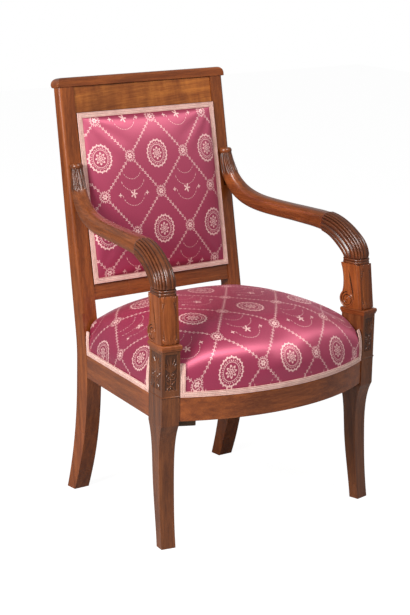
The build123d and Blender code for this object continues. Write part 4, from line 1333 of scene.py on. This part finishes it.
for label, front, out, node in (
    ("back", back_edge_front + 0.0002, rake_front, "back_gimp"),
    ("outside", outside_front, -rake_front, "outside_back_gimp"),
):
    path = back_frame_path(front, 30)
    outs = [out] * len(path)
    tape = strip(f"{label}_braid_tape", path, outs, tape_profile, closed=True)
    finish_piece(tape, braid_tape_silk, "braid", node)
    stitched(f"{label}_braid_stitches", [(path, outs)], closed=True)


# Studio
# A pale floor, a white surround, one large soft lamp on the left, a weaker one high in front, and the
# camera at the photograph's viewing angle.
floor_mesh = bpy.data.meshes.new("studio_floor")
floor_mesh.from_pydata([(-6, -6, 0), (6, -6, 0), (6, 6, 0), (-6, 6, 0)], [], [(0, 1, 2, 3)])
floor = link_piece("studio_floor", floor_mesh)
floor_paint, tree = new_material("studio_floor")
set_shader(tree, {"Base Color": (0.5, 0.5, 0.5, 1), "Roughness": 0.9, "Specular IOR Level": 0.0})
white = add_node(tree, "ShaderNodeEmission", {"Color": (1, 1, 1, 1), "Strength": 1.5})
painted = Wire(tree.nodes["Principled BSDF"].outputs[0])
seen = add_node(tree, "ShaderNodeLightPath", {}, "Is Camera Ray") * 0.64
shown = add_node(tree, "ShaderNodeMixShader", {0: seen, 1: painted, 2: white})
set_inputs(tree.nodes["Material Output"], {"Surface": shown})
floor_mesh.materials.append(floor_paint)

world = bpy.data.worlds.new("studio")
world.use_nodes = True
bpy.context.scene.world = world
by_camera = add_node(world.node_tree, "ShaderNodeLightPath", {}, "Is Camera Ray")
seen = calc("MAXIMUM", by_camera, by_camera.beside("Is Transmission Ray"))
level = seen * 0.9 + by_camera.beside("Is Glossy Ray") * 0.36 + 0.1
set_inputs(world.node_tree.nodes["Background"], {"Color": (1, 1, 1, 1), "Strength": level})


def soft_lamp(name, place, aim, size, power):
    lamp = bpy.data.lights.new(name, "AREA")
    lamp.shape = "DISK"
    lamp.size = size
    lamp.energy = power
    holder = link_piece(name, lamp)
    holder.location = place
    holder.rotation_euler = (Vector(aim) - Vector(place)).to_track_quat("-Z", "Y").to_euler()


soft_lamp("key_lamp", (-2.9, -0.7, 1.9), aim=(0, 0, 0.5), size=1.4, power=132)
soft_lamp("top_lamp", (0.1, -1.9, 2.75), aim=(0, 0, 0.75), size=1.1, power=44)

bpy.context.scene.view_settings.view_transform = "Standard"
photo_focus, photo_height = 1854.6, 615  # pixels
photo_place = (-2.473, -3.106, 1.437)
lens = bpy.data.cameras.new("camera")
lens.sensor_width = 36
lens.lens = photo_focus / photo_height * lens.sensor_width
yaw, pitch, tilt = math.radians(38.38), math.radians(-14.19), math.radians(1.28)
look = Vector((math.sin(yaw) * math.cos(pitch), math.cos(yaw) * math.cos(pitch), math.sin(pitch)))
level_right = Vector((math.cos(yaw), -math.sin(yaw), 0))
level_up = level_right.cross(look)
right = level_right * math.cos(tilt) + level_up * math.sin(tilt)
upward = level_up * math.cos(tilt) - level_right * math.sin(tilt)
turned = Matrix((right, upward, -look)).transposed().to_4x4()
camera = link_piece("camera", lens)
camera.matrix_world = Matrix.Translation(photo_place) @ turned
bpy.context.scene.camera = camera
